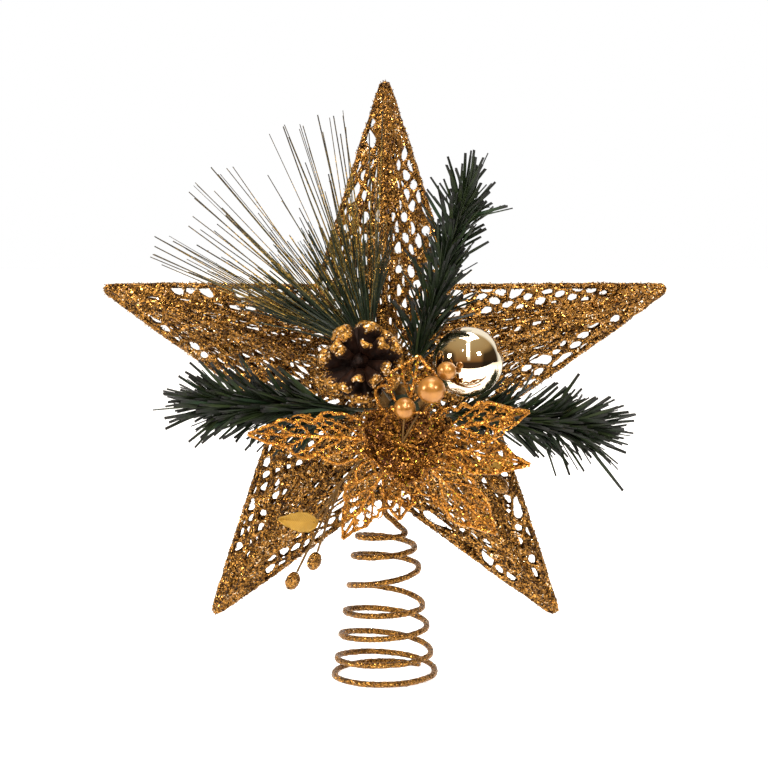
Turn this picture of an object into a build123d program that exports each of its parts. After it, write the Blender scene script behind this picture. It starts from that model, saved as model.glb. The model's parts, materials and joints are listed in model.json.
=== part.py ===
from build123d import *

import os
from math import atan2, cos, pi, radians, sin, sqrt, tan

# Glitter star for the top of a tree: a puffed wire star covered with open netting, on a conical
# coil that slips over the tree's leader, with a pick of pine, a cone, a ball and a flower in front.
# Millimetres. The origin is on the coil's axis at its foot, +Z is up and the front faces -Y.

# Star frame
star_corner_radius = 139.0
star_inner_radius = 52.0
star_half_depth = 24.0
arm_count = 5
first_arm_angle = 90.0
arm_names = ["top", "left", "lower_left", "lower_right", "right"]
outline_wire_diameter = 2.2
tip_bend_radius = 2.4
crotch_bend_radius = 3.0
ridge_wire_diameter = 1.6
ridge_tip_setback = 9.0
ridge_hub_radius = 3.0
weld_gap = 0.15

# Netting
net_standoff = 1.25
net_thickness = 0.9
net_seam_gap = 0.9
net_border = 1.6
diamond_length = 7.6
diamond_width = 4.6
diamond_pitch = 10.0
diamond_row_pitch = 4.7

# Coil that grips the tree
coil_wire_diameter = 2.6
coil_foot_radius = 23.4
coil_head_radius = 12.0
coil_head_z = 68.0
coil_turns = 6.75
coil_foot_turns = 0.7
coil_half_turn_rise = [0, 0, 0.024, 0.114, 0.158, 0.278, 0.343, 0.44, 0.483, 0.62, 0.749,
                       0.826, 0.886, 0.963, 1]
coil_start_angle = 45.0
coil_floor_cut = 0.5
coil_neck_rise = 3.5
coil_neck_slope = 0.25
coil_tail_bend = 4.5
coil_tail_top = 4.0
coil_steps_per_turn = 4

# Lashing that ties the coil's tail behind the lowest crotch of the star
lashing_radius = 4.6
lashing_height = 8.0
lashing_tail_run = 5.5
lashing_rock_clearance = 0.8
lashing_tail_clearance = 0.15
lashing_net_clearance = 1.4

# Pick core, the taped bundle that carries the decorations, and how it is wired on
core_offset = 14.0
core_arm = 3
core_radius = 7.0
core_length = 15.0
pad_radius = 12.0
pad_thickness = 2.0
staple_wire_diameter = 1.2
staple_half_width = 4.0
staple_bend_radius = 1.8
fit_gap = 0.3
bend_gap = 0.7

# Pine branches
branch_stem_diameter = 1.8
branch_sleeve_radius = 2.3
branch_bore_gap = 0.1
needle_radius = 0.75
needle_wide_tilt = 40.0
needle_deep_tilt = 20.0
needle_lengths = [26.0, 22.0]
needles_per_branch = 112
golden_angle = 137.508

# Long needle spray
spray_knot_radius = 3.0
spray_knot_length = 9.0
spray_needle_radius = 0.45
spray_needle_lengths = [96.0, 84.0, 68.0]
spray_needle_count = 93
spray_fan_half_angle = 38.0
spray_fan_half_depth = 7.0
spray_fan_back = 6.0

# Pine cone
cone_core_radius = 6.5
cone_length = 27.0
cone_scale_count = 24
cone_scale_thickness = 2.2
cone_scale_width = 14.0
cone_scale_reach = 16.0
cone_tip_reach = 6.5
cone_base_opening = 82.0
cone_tip_opening = 22.0
cone_wire_diameter = 1.2

# Glass-like ball
ball_radius = 15.2
ball_wall = 0.8
ball_neck_radius = 3.2
ball_neck_length = 3.0
ball_cap_wall = 0.5
ball_cap_gap = 0.1
ball_wire_diameter = 1.2
ball_wire_stop_radius = 1.9
ball_wire_stop_length = 1.2
ball_wire_gap = 0.1

# Flower
flower_hub_radius = 5.0
flower_hub_length = 12.0
flower_stem_diameter = 1.8
petal_thickness = 1.1
petal_base_width = 3.6
petal_rim = 1.5
petal_vein = 1.3
petal_vein_angle = 42.0
petal_veins = 5

# Berries and leaf sprays
berry_wire_diameter = 0.9
berry_bore_depth = 3.0
berry_bore_gap = 0.08
leaf_stem_diameter = 1.0
leaf_thickness = 0.8
bud_waist = 0.72

os.makedirs("parts", exist_ok=True)

arm_step = 360.0 / arm_count
outline_radius = outline_wire_diameter / 2
ridge_radius = ridge_wire_diameter / 2
coil_radius = coil_wire_diameter / 2

# The star stands on the coil: its lowest crotch is tied at the top of the coil's tail
crotch_half_angle = atan2(star_corner_radius * sin(radians(arm_step / 2)),
                          star_corner_radius * cos(radians(arm_step / 2)) - star_inner_radius)
crotch_drop = crotch_bend_radius * (1 / sin(crotch_half_angle) - 1)
crotch_z = coil_head_z + coil_neck_rise + coil_tail_bend + lashing_tail_run + lashing_height / 2
star_centre_z = crotch_z + crotch_drop + star_inner_radius
net_front_y = -(star_half_depth + net_standoff + net_thickness)


def arm_angle(arm):
    """Direction of a star point, in degrees from +X towards +Z."""
    return first_arm_angle + arm_step * arm


def star_place(radius, angle, depth=0.0):
    """Point at a polar place on the star, depth behind its middle plane."""
    return Vector(radius * cos(radians(angle)), depth, star_centre_z + radius * sin(radians(angle)))


def shown(place):
    """Coordinates rounded for printing."""
    return tuple(round(value, 2) for value in place)


def upright_plane(origin, z_dir):
    """Plane along z_dir whose x axis lies in the star's plane."""
    sideways = Vector(0, 1, 0).cross(Vector(*z_dir))
    return Plane(origin=origin, x_dir=sideways, z_dir=z_dir)


# Star outline wire, one closed bent wire

outline_corners = []
outline_bends = []
for arm in range(arm_count):
    outline_corners.append(star_place(star_corner_radius, arm_angle(arm)))
    outline_corners.append(star_place(star_inner_radius, arm_angle(arm) + arm_step / 2))
    outline_bends.extend([tip_bend_radius, crotch_bend_radius])

with BuildPart() as star_outline_wire:
    with BuildLine() as outline_path:
        FilletPolyline(*outline_corners, radius=outline_bends, close=True)
    with BuildSketch(Plane(outline_path.line @ 0, z_dir=outline_path.line % 0)):
        Circle(outline_radius)
    sweep()
star_outline_wire.part.label = "star_outline_wire"
export_step(star_outline_wire.part, "parts/star_outline_wire.step")


# Ridge wires, five welded to a hub in front of the star and five behind it

ridge_end_radius = star_corner_radius - ridge_tip_setback
ridge_end_depth = outline_radius + ridge_radius + weld_gap

for side_name, side in (("front", -1), ("back", 1)):
    hub_place = star_place(0, 0, side * star_half_depth)
    with BuildPart() as ridge_wires:
        for arm in range(arm_count):
            ridge_end = star_place(ridge_end_radius, arm_angle(arm), side * ridge_end_depth)
            with BuildSketch(Plane(hub_place, z_dir=ridge_end - hub_place)):
                Circle(ridge_radius)
            extrude(amount=(ridge_end - hub_place).length)
        with Locations(hub_place):
            Cylinder(ridge_hub_radius, ridge_wire_diameter, rotation=(90, 0, 0))
    ridge_wires.part.label = f"{side_name}_ridge_wires"
    export_step(ridge_wires.part, f"parts/{side_name}_ridge_wires.step")


# Coil: a flat foot turn, a conical helix, and a tail that rises behind the lowest crotch

coil_seat_z = coil_radius - coil_floor_cut
tail_y = outline_radius + coil_radius + fit_gap


def coil_place(turn):
    """Centre of the coil wire, so many turns from its cut end."""
    narrowing = max(0.0, turn - coil_foot_turns) / (coil_turns - coil_foot_turns)
    radius = coil_foot_radius + (coil_head_radius - coil_foot_radius) * narrowing
    angle = coil_start_angle + 360 * turn
    half_turn = min(int(angle / 180), len(coil_half_turn_rise) - 2)
    low, high = coil_half_turn_rise[half_turn:half_turn + 2]
    rise = low + (high - low) * (angle / 180 - half_turn)
    height = coil_seat_z + (coil_head_z - coil_seat_z) * rise
    return Vector(radius * cos(radians(angle)), radius * sin(radians(angle)), height)


def coil_direction(turn, step=0.01):
    """Direction of the coil wire at that many turns."""
    low = max(0.0, turn - step)
    high = min(coil_turns, turn + step)
    return (coil_place(high) - coil_place(low)).normalized()


def biarc(start, start_direction, end, end_direction):
    """Two tangent arcs from one place and direction to the next, and their smaller radius."""
    chord = end - start
    spread = 2 * (1 - start_direction.dot(end_direction))
    along = chord.dot(start_direction + end_direction)
    reach = (sqrt(along**2 + spread * chord.dot(chord)) - along) / spread
    middle = (start + end + (start_direction - end_direction) * reach) / 2
    through = ((end - end_direction * reach) - (start + start_direction * reach)).normalized()
    first = TangentArc(start, middle, tangent=start_direction)
    second = TangentArc(middle, end, tangent=through)
    return min(first.radius, second.radius)


coil_stations = int(coil_turns * coil_steps_per_turn) + 1
coil_nodes = [(coil_place(i / coil_steps_per_turn), coil_direction(i / coil_steps_per_turn))
              for i in range(coil_stations)]
neck_place = Vector(coil_tail_bend, tail_y, coil_head_z + coil_neck_rise)
neck_direction = Vector(-1, 0, coil_neck_slope).normalized()
tail_start = Vector(0, tail_y, neck_place.Z + coil_tail_bend)
coil_nodes.append((neck_place, neck_direction))
coil_nodes.append((tail_start, Vector(0, 0, 1)))
tail_end = Vector(0, tail_y, crotch_z + coil_tail_top)

with BuildPart() as spring_coil:
    with BuildLine() as coil_path:
        bend_radii = [biarc(*a, *b) for a, b in zip(coil_nodes, coil_nodes[1:])]
        Line(tail_start, tail_end)
    with BuildSketch(Plane(coil_path.line @ 0, z_dir=coil_path.line % 0)):
        Circle(coil_radius)
    sweep()
    split(bisect_by=Plane.XY, keep=Keep.TOP)
spring_coil.part.label = "spring_coil"
export_step(spring_coil.part, "parts/spring_coil.step")


def least_gap(line, wire_diameter, samples=700):
    """Least gap between two stretches of one wire that lie apart along it."""
    places = [line @ (i / samples) for i in range(samples + 1)]
    apart = int(samples * 4 * wire_diameter / line.length) + 1
    nearest = min((places[i] - places[j]).length
                  for i in range(samples + 1) for j in range(i + apart, samples + 1))
    return nearest - wire_diameter


coil_line = coil_path.wire()
coil_length = coil_line.length
coil_section = pi * coil_radius**2
print(f"coil: length {coil_length:.1f}, least bend {min(bend_radii):.1f}, "
      f"least gap {least_gap(coil_line, coil_wire_diameter):.2f}, "
      f"volume {spring_coil.part.volume:.0f} of {coil_section * coil_length:.0f} before the floor cut")


# Lashing: a wound barrel round the coil's tail and the crotch of the outline

lashing_place = Vector(0, tail_y / 2, crotch_z)
with BuildPart() as frame_lashing:
    with Locations(lashing_place):
        Cylinder(lashing_radius, lashing_height)
    fillet(frame_lashing.edges().filter_by(GeomType.CIRCLE), radius=lashing_height / 6)
    with BuildLine() as crotch_path:
        FilletPolyline(*[star_place(radius, 270 + turn) for radius, turn in
                         ((star_corner_radius, -arm_step / 2), (star_inner_radius, 0),
                          (star_corner_radius, arm_step / 2))], radius=crotch_bend_radius)
    with BuildSketch(Plane(crotch_path.line @ 0, z_dir=crotch_path.line % 0)):
        Circle(outline_radius + lashing_rock_clearance)
    sweep(mode=Mode.SUBTRACT)
    with Locations((0, tail_y, crotch_z)):
        Cylinder(coil_radius + lashing_tail_clearance, 2 * lashing_height, mode=Mode.SUBTRACT)
frame_lashing.part.label = "frame_lashing"
export_step(frame_lashing.part, "parts/frame_lashing.step")


# Pick core and its glue pad, over one ridge wire

core_angle = arm_angle(core_arm)
core_x = core_offset * cos(radians(core_angle))
core_z = star_centre_z + core_offset * sin(radians(core_angle))
pad_back_y = net_front_y - fit_gap
core_back_y = pad_back_y - pad_thickness


def pick_place(across, forward, up):
    """Place in the pick, from the middle of the core's back face."""
    return Vector(core_x + across, core_back_y - forward, core_z + up)


def pick_root(angle, forward, gap=bend_gap):
    """Place just off the core's side, where a stem leaves it."""
    reach = core_radius + gap
    return pick_place(reach * cos(radians(angle)), forward, reach * sin(radians(angle)))


staple_side = Vector(-sin(radians(core_angle)), 0, cos(radians(core_angle))) * staple_half_width
staple_front = pick_place(0, 0, 0)
ridge_fall = (star_half_depth - ridge_end_depth) / ridge_end_radius
staple_hook_y = ridge_fall * core_offset - star_half_depth + ridge_radius + staple_wire_diameter / 2 + fit_gap
staple_back = Vector(staple_front.X, staple_hook_y, staple_front.Z)

with BuildPart() as pick_staple:
    with BuildLine() as staple_path:
        FilletPolyline(staple_front + staple_side, staple_back + staple_side,
                       staple_back - staple_side, staple_front - staple_side,
                       radius=staple_bend_radius)
    with BuildSketch(Plane(staple_path.line @ 0, z_dir=staple_path.line % 0)):
        Circle(staple_wire_diameter / 2)
    sweep()
pick_staple.part.label = "pick_staple"
export_step(pick_staple.part, "parts/pick_staple.step")

with BuildPart() as glue_pad:
    with BuildSketch(Plane(pick_place(0, -pad_thickness, 0), x_dir=(1, 0, 0), z_dir=(0, -1, 0))):
        Circle(pad_radius)
    extrude(amount=pad_thickness)
    fillet(glue_pad.faces().sort_by(Axis.Y)[0].edges(), radius=pad_thickness / 3)
    with Locations(staple_front + staple_side, staple_front - staple_side):
        Cylinder(staple_wire_diameter / 2 + fit_gap, 3 * pad_thickness,
                 rotation=(90, 0, 0), mode=Mode.SUBTRACT)
glue_pad.part.label = "glue_pad"
export_step(glue_pad.part, "parts/glue_pad.step")

with BuildPart() as pick_core:
    with BuildSketch(Plane(pick_place(0, 0, 0), x_dir=(1, 0, 0), z_dir=(0, -1, 0))):
        Circle(core_radius)
    extrude(amount=core_length)
    fillet(pick_core.faces().sort_by(Axis.Y)[0].edges(), radius=core_radius / 4)
pick_core.part.label = "pick_core"
export_step(pick_core.part, "parts/pick_core.step")


# Netting: two flat holed panels either side of each ridge, on both faces of the star

def net_corners(arm, side, hand):
    """Hub, tip and valley corner of one net panel's inner face."""
    hub = star_place(0, 0, side * (star_half_depth + net_standoff))
    tip = star_place(ridge_end_radius, arm_angle(arm), side * (ridge_end_depth + net_standoff))
    valley = star_place(star_inner_radius, arm_angle(arm) + hand * arm_step / 2, side * net_standoff)
    return hub, tip, valley


def diamond_places(length, valley_along, valley_across):
    """Centres of the diamonds that fit inside a panel, in its own plane."""
    slope_low = valley_across / valley_along
    slope_high = valley_across / (length - valley_along)
    margin = net_seam_gap + net_border
    places = []
    rows = int(valley_across / diamond_row_pitch)
    columns = int(length / diamond_pitch) + 1
    for row in range(rows):
        across = margin + diamond_width / 2 + row * diamond_row_pitch
        for column in range(columns):
            along = (column + 0.5 * (row % 2)) * diamond_pitch
            corners = [(along - diamond_length / 2, across), (along + diamond_length / 2, across),
                       (along, across + diamond_width / 2)]
            inside = all(
                (slope_low * u - v) / sqrt(1 + slope_low**2) > margin
                and (slope_high * (length - u) - v) / sqrt(1 + slope_high**2) > margin
                for u, v in corners)
            if inside:
                places.append((along, across))
    return places


for side_name, side in (("front", -1), ("back", 1)):
    for arm, arm_name in enumerate(arm_names):
        with BuildPart() as net:
            for hand in (-1, 1):
                hub, tip, valley = net_corners(arm, side, hand)
                ridge = (tip - hub).normalized()
                along = (valley - hub).dot(ridge)
                across = (valley - hub) - ridge * along
                panel_plane = Plane(hub, x_dir=ridge, z_dir=ridge.cross(across))
                outward = 1 if panel_plane.z_dir.Y * side > 0 else -1
                length = (tip - hub).length
                with BuildSketch(panel_plane):
                    with BuildLine():
                        Polyline((0, 0), (length, 0), (along, across.length), close=True)
                    make_face()
                    offset(amount=-net_seam_gap, kind=Kind.INTERSECTION)
                    with Locations(*diamond_places(length, along, across.length)):
                        Polygon((-diamond_length / 2, 0), (0, -diamond_width / 2),
                                (diamond_length / 2, 0), (0, diamond_width / 2),
                                align=None, mode=Mode.SUBTRACT)
                extrude(amount=outward * net_thickness)
            with Locations(staple_front + staple_side, staple_front - staple_side):
                Cylinder(staple_wire_diameter / 2 + fit_gap, 2 * star_half_depth,
                         rotation=(90, 0, 0), mode=Mode.SUBTRACT)
            with Locations(lashing_place):
                Cylinder(lashing_radius + lashing_net_clearance,
                         lashing_height + 2 * lashing_net_clearance, mode=Mode.SUBTRACT)
        net.part.label = f"{side_name}_net_{arm_name}"
        export_step(net.part, f"parts/{side_name}_net_{arm_name}.step")


# Pine branches: a wire stem in a sleeve of clamped needles

def needle_planes(stem_plane, first, last, count):
    """Planes that needles rise from, wound along a stem and leaning to its tip."""
    planes = []
    root_radius = branch_sleeve_radius * 0.7
    for index in range(count):
        azimuth = radians(index * golden_angle)
        flatness = abs(sin(azimuth))
        tilt = radians(needle_wide_tilt + (needle_deep_tilt - needle_wide_tilt) * flatness)
        outward = stem_plane.x_dir * cos(azimuth) + stem_plane.y_dir * sin(azimuth)
        root = stem_plane.origin + stem_plane.z_dir * (first + (last - first) * index / (count - 1))
        direction = stem_plane.z_dir * cos(tilt) + outward * sin(tilt)
        planes.append(Plane(root + outward * root_radius, x_dir=stem_plane.z_dir.cross(outward),
                            z_dir=direction))
    return planes


branches = {
    "upper_branch": (80, 8.5, (27, 17, 96), 26),
    "left_branch": (178, 8.0, (-84, 14, 4), 26),
    "right_branch": (-4, 6.0, (82, 10, -7), 26),
}

for branch_name, (angle, forward, tip_place, bare_length) in branches.items():
    root = pick_root(angle, forward)
    stem = pick_place(*tip_place) - root
    stem_plane = upright_plane(root, stem)
    with BuildPart() as branch_stem:
        with BuildSketch(stem_plane):
            Circle(branch_stem_diameter / 2)
        extrude(amount=stem.length)
    branch_stem.part.label = f"{branch_name}_stem"
    export_step(branch_stem.part, f"parts/{branch_name}_stem.step")

    planes = needle_planes(stem_plane, bare_length, stem.length - branch_sleeve_radius, needles_per_branch)
    with BuildPart() as branch_needles:
        with BuildSketch(stem_plane.offset(bare_length - branch_sleeve_radius)):
            RegularPolygon(branch_sleeve_radius, 6)
            RegularPolygon(branch_stem_diameter / 2 + branch_bore_gap, 6, major_radius=False,
                           mode=Mode.SUBTRACT)
        extrude(amount=stem.length - bare_length + branch_sleeve_radius)
        for group, needle_length in enumerate(needle_lengths):
            with BuildSketch(*planes[group::len(needle_lengths)]):
                RegularPolygon(needle_radius, 3)
            extrude(amount=needle_length)
    branch_needles.part.label = f"{branch_name}_needles"
    export_step(branch_needles.part, f"parts/{branch_name}_needles.step")
    print(f"{branch_name}: hinge at {shown(root)}")


# Long needle spray: a bent stem to a taped knot, and a flat fan of fine needles

spray_root = pick_root(122, 2.2)
spray_knot = pick_place(-18, 2.6, 29)
spray_direction = Vector(-0.62, -0.06, 0.78).normalized()
spray_plane = upright_plane(spray_knot, spray_direction)

with BuildPart() as spray_stem:
    with BuildSketch(Plane(spray_root, z_dir=spray_knot - spray_root)):
        Circle(branch_stem_diameter / 2)
    extrude(amount=(spray_knot - spray_root).length - fit_gap - weld_gap)
spray_stem.part.label = "spray_stem"
export_step(spray_stem.part, "parts/spray_stem.step")

fan_apex = spray_knot - spray_plane.z_dir * spray_fan_back
fan_planes = []
for index in range(spray_needle_count):
    azimuth = radians(index * golden_angle)
    spread = sqrt((index + 0.5) / spray_needle_count)
    sideways = tan(radians(spray_fan_half_angle * spread * cos(azimuth)))
    deep = tan(radians(spray_fan_half_depth * spread * sin(azimuth)))
    direction = (spray_plane.z_dir + spray_plane.x_dir * sideways + spray_plane.y_dir * deep).normalized()
    reach = (spray_fan_back + spray_knot_length / 2) / direction.dot(spray_plane.z_dir)
    fan_planes.append(Plane(fan_apex + direction * reach, z_dir=direction))

fan_half_width = (spray_fan_back + spray_knot_length / 2) * tan(radians(spray_fan_half_angle))

with BuildPart() as spray_needles:
    with BuildSketch(spray_plane):
        Rectangle(2 * fan_half_width + 4 * spray_needle_radius, 1.3 * spray_knot_radius)
    extrude(amount=spray_knot_length)
    for group, needle_length in enumerate(spray_needle_lengths):
        with BuildSketch(*fan_planes[group::len(spray_needle_lengths)]):
            RegularPolygon(spray_needle_radius, 3)
        extrude(amount=needle_length)
spray_needles.part.label = "spray_needles"
export_step(spray_needles.part, "parts/spray_needles.step")
print(f"spray: hinge at {shown(spray_root)}")


# Pine cone: a woody axis with scales wound round it, opening wider towards its base

cone_base = pick_place(-18, 7.2, 21.5)
cone_direction = Vector(-0.10, -1.0, 0.12).normalized()
cone_plane = upright_plane(cone_base, cone_direction)

with BuildPart() as pine_cone:
    with BuildSketch(cone_plane):
        Circle(cone_core_radius)
    extrude(amount=cone_length - cone_tip_reach, taper=8)
    for index in range(cone_scale_count):
        share = index / (cone_scale_count - 1)
        azimuth = radians(index * golden_angle)
        opening = radians(cone_base_opening + (cone_tip_opening - cone_base_opening) * share)
        reach = cone_scale_reach + (cone_tip_reach - cone_scale_reach) * share
        width = cone_scale_width * (1 - 0.45 * share)
        outward = cone_plane.x_dir * cos(azimuth) + cone_plane.y_dir * sin(azimuth)
        blade = outward * sin(opening) + cone_plane.z_dir * cos(opening)
        climb = cone_scale_thickness + share * (cone_length - 2 * cone_tip_reach)
        foot = cone_base + cone_plane.z_dir * climb
        scale_plane = Plane(foot + outward * (cone_core_radius * 0.5), x_dir=blade,
                            z_dir=blade.cross(cone_plane.z_dir.cross(outward)))
        with BuildSketch(scale_plane):
            Polygon((0, -width / 4), (reach * 0.6, -width / 2), (reach * 0.9, -width / 2.6),
                    (reach, 0), (reach * 0.9, width / 2.6), (reach * 0.6, width / 2), (0, width / 4),
                    align=None)
        extrude(amount=cone_scale_thickness / 2, both=True)
pine_cone.part.label = "pine_cone"
export_step(pine_cone.part, "parts/pine_cone.step")

cone_wire_root = pick_root(140, 4.4, fit_gap)
cone_wire_end = cone_base - cone_plane.z_dir * (fit_gap + cone_wire_diameter / 2)
with BuildPart() as cone_wire:
    with BuildSketch(Plane(cone_wire_root, z_dir=cone_wire_end - cone_wire_root)):
        Circle(cone_wire_diameter / 2)
    extrude(amount=(cone_wire_end - cone_wire_root).length)
    with BuildSketch(cone_plane.offset(-fit_gap)):
        Circle(cone_core_radius * 0.6)
    extrude(amount=-cone_wire_diameter)
cone_wire.part.label = "cone_wire"
export_step(cone_wire.part, "parts/cone_wire.step")


# Ball: a thin shell with a neck, a cap over the neck, and the wire that the ball turns on

ball_place = pick_place(27.5, 17, 22.5)
ball_wire_root = pick_root(38, 8.0, fit_gap)
ball_axis = (ball_wire_root - ball_place).normalized()
ball_plane = upright_plane(ball_place, ball_axis)
neck_top = ball_radius + ball_neck_length
cap_inner_radius = ball_neck_radius + ball_cap_gap
cap_top = neck_top + ball_cap_gap + ball_cap_wall

with BuildPart(ball_plane) as ball_shell:
    Sphere(ball_radius)
    with Locations((0, 0, neck_top / 2)):
        Cylinder(ball_neck_radius, neck_top)
    Sphere(ball_radius - ball_wall, mode=Mode.SUBTRACT)
    with Locations((0, 0, neck_top / 2)):
        Cylinder(ball_neck_radius - ball_wall, neck_top, mode=Mode.SUBTRACT)
ball_shell.part.label = "ball_shell"
export_step(ball_shell.part, "parts/ball_shell.step")

with BuildPart() as ball_cap:
    with BuildSketch(ball_plane.offset(cap_top)):
        Circle(cap_inner_radius + ball_cap_wall)
        Circle(ball_wire_diameter / 2 + ball_wire_gap, mode=Mode.SUBTRACT)
    extrude(amount=-ball_cap_wall)
    with BuildSketch(ball_plane.offset(cap_top)):
        Circle(cap_inner_radius + ball_cap_wall)
        Circle(cap_inner_radius, mode=Mode.SUBTRACT)
    extrude(amount=-ball_neck_length)
ball_cap.part.label = "ball_cap"
export_step(ball_cap.part, "parts/ball_cap.step")

ball_wire_length = (ball_wire_root - ball_place).length
stop_top = cap_top - ball_cap_wall - fit_gap
with BuildPart() as ball_wire:
    with BuildSketch(ball_plane.offset(stop_top)):
        Circle(ball_wire_diameter / 2)
    extrude(amount=ball_wire_length - stop_top)
    with BuildSketch(ball_plane.offset(stop_top)):
        Circle(ball_wire_stop_radius)
    extrude(amount=-ball_wire_stop_length)
ball_wire.part.label = "ball_wire"
export_step(ball_wire.part, "parts/ball_wire.step")
print(f"ball: spin about {shown(ball_place)} along {shown(ball_axis)}")


# Flower: a hub on a stem, and openwork petals in a front and a back layer

flower_place = pick_place(-1, 31, -10)
flower_direction = Vector(0, -1, 0)
flower_plane = Plane(flower_place, x_dir=(1, 0, 0), z_dir=flower_direction)
flower_stem_root = pick_place(0, core_length + flower_stem_diameter / 2, -1)

with BuildPart() as flower_hub:
    with BuildSketch(flower_plane):
        Circle(flower_hub_radius)
    extrude(amount=flower_hub_length / 2, both=True)
    fillet(flower_hub.faces().sort_by(Axis.Y)[0].edges(), radius=flower_hub_radius / 3)
flower_hub.part.label = "flower_hub"
export_step(flower_hub.part, "parts/flower_hub.step")

flower_back = flower_place + Vector(0, flower_hub_length / 2 + fit_gap, 0)
with BuildPart() as flower_stem:
    with BuildSketch(Plane(flower_stem_root, z_dir=flower_back - flower_stem_root)):
        Circle(flower_stem_diameter / 2)
    extrude(amount=(flower_back - flower_stem_root).length - flower_stem_diameter / 2)
flower_stem.part.label = "flower_stem"
export_step(flower_stem.part, "parts/flower_stem.step")

petals = {
    "upper": (79, 32, 31, 4.2, 2),
    "right": (13, 50, 21, 2.2, 0),
    "lower_right": (-45, 52, 23, 2.2, -6),
    "lower_left": (-121, 44, 22, 2.2, -6),
    "left": (177, 60, 22, 2.2, 0),
    "side": (-11, 50, 19, -1.0, -2),
    "bottom": (-92, 29, 19, -1.0, -4),
}


def petal_outline(length, width):
    """Leaf-shaped line from the petal's foot to its tip and back."""
    foot = petal_base_width / 2
    ThreePointArc((0, -foot), (length * 0.45, -width / 2), (length, 0))
    ThreePointArc((length, 0), (length * 0.45, width / 2), (0, foot))
    Line((0, foot), (0, -foot))


for petal_name, (angle, length, width, layer, lean) in petals.items():
    outward = Vector(cos(radians(angle)), 0, sin(radians(angle)))
    rise = outward * cos(radians(lean)) + flower_direction * sin(radians(lean))
    foot = flower_place + outward * (flower_hub_radius + fit_gap) + flower_direction * layer
    petal_plane = Plane(foot, x_dir=rise, z_dir=rise.cross(outward.cross(flower_direction)) * -1)
    with BuildSketch(mode=Mode.PRIVATE) as petal_windows:
        with BuildLine():
            petal_outline(length, width)
        make_face()
        offset(amount=-petal_rim, kind=Kind.INTERSECTION)
        with Locations((length / 2, 0)):
            Rectangle(length, petal_vein, mode=Mode.SUBTRACT)
        for vein in range(petal_veins):
            vein_place = length * (vein + 0.5) / (petal_veins + 1)
            for vein_side in (-1, 1):
                with Locations(Location((vein_place, 0), vein_side * petal_vein_angle)):
                    Rectangle(width, petal_vein, align=(Align.MIN, Align.CENTER), mode=Mode.SUBTRACT)
    with BuildPart() as petal:
        with BuildSketch(petal_plane):
            with BuildLine():
                petal_outline(length, width)
            make_face()
            add(petal_windows.sketch, mode=Mode.SUBTRACT)
        extrude(amount=petal_thickness)
    petal.part.label = f"{petal_name}_petal"
    export_step(petal.part, f"parts/{petal_name}_petal.step")


# Berries: beads on wires that stand out of the flower's hub

berries = [((11, 47.5, 13), 5.8), ((0, 44.5, 5), 4.6), ((17.5, 42.5, 20.5), 4.0)]
berry_root = flower_place + Vector(0, -flower_hub_length / 2 - berry_wire_diameter / 2 - weld_gap, 0)

with BuildPart() as berry_wires:
    for place, radius in berries:
        berry_place = pick_place(*place)
        stalk = berry_place - berry_root
        with BuildSketch(Plane(berry_root, z_dir=stalk)):
            Circle(berry_wire_diameter / 2)
        extrude(amount=stalk.length - radius + berry_bore_depth)
berry_wires.part.label = "berry_wires"
export_step(berry_wires.part, "parts/berry_wires.step")

with BuildPart() as berry_beads:
    for place, radius in berries:
        berry_place = pick_place(*place)
        stalk = berry_place - berry_root
        with Locations(berry_place):
            Sphere(radius)
        with BuildSketch(Plane(berry_place - stalk.normalized() * radius * 1.5, z_dir=stalk)):
            Circle(berry_wire_diameter / 2 + berry_bore_gap)
        extrude(amount=berry_bore_depth + radius * 0.5 + berry_bore_gap, mode=Mode.SUBTRACT)
berry_beads.part.label = "berry_beads"
export_step(berry_beads.part, "parts/berry_beads.step")


# Leaf sprays: a forked wire with satin leaves and glittered buds at its ends

leaf_sprays = {
    "left_leaf": (228, 4.0, (-28, 8.5, -32),
                  [((-39.5, 11.5, -48.5), 15, 9, 175)],
                  [((-38, 8.5, -62), 4.2), ((-47, 8.5, -71), 4.2)]),
    "right_leaf": (-42, 3.0, (30, 7.5, -22),
                   [((35, 10.5, -22), 11, 8, 0)],
                   [((38, 7.5, -29), 4.8)]),
}

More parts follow.
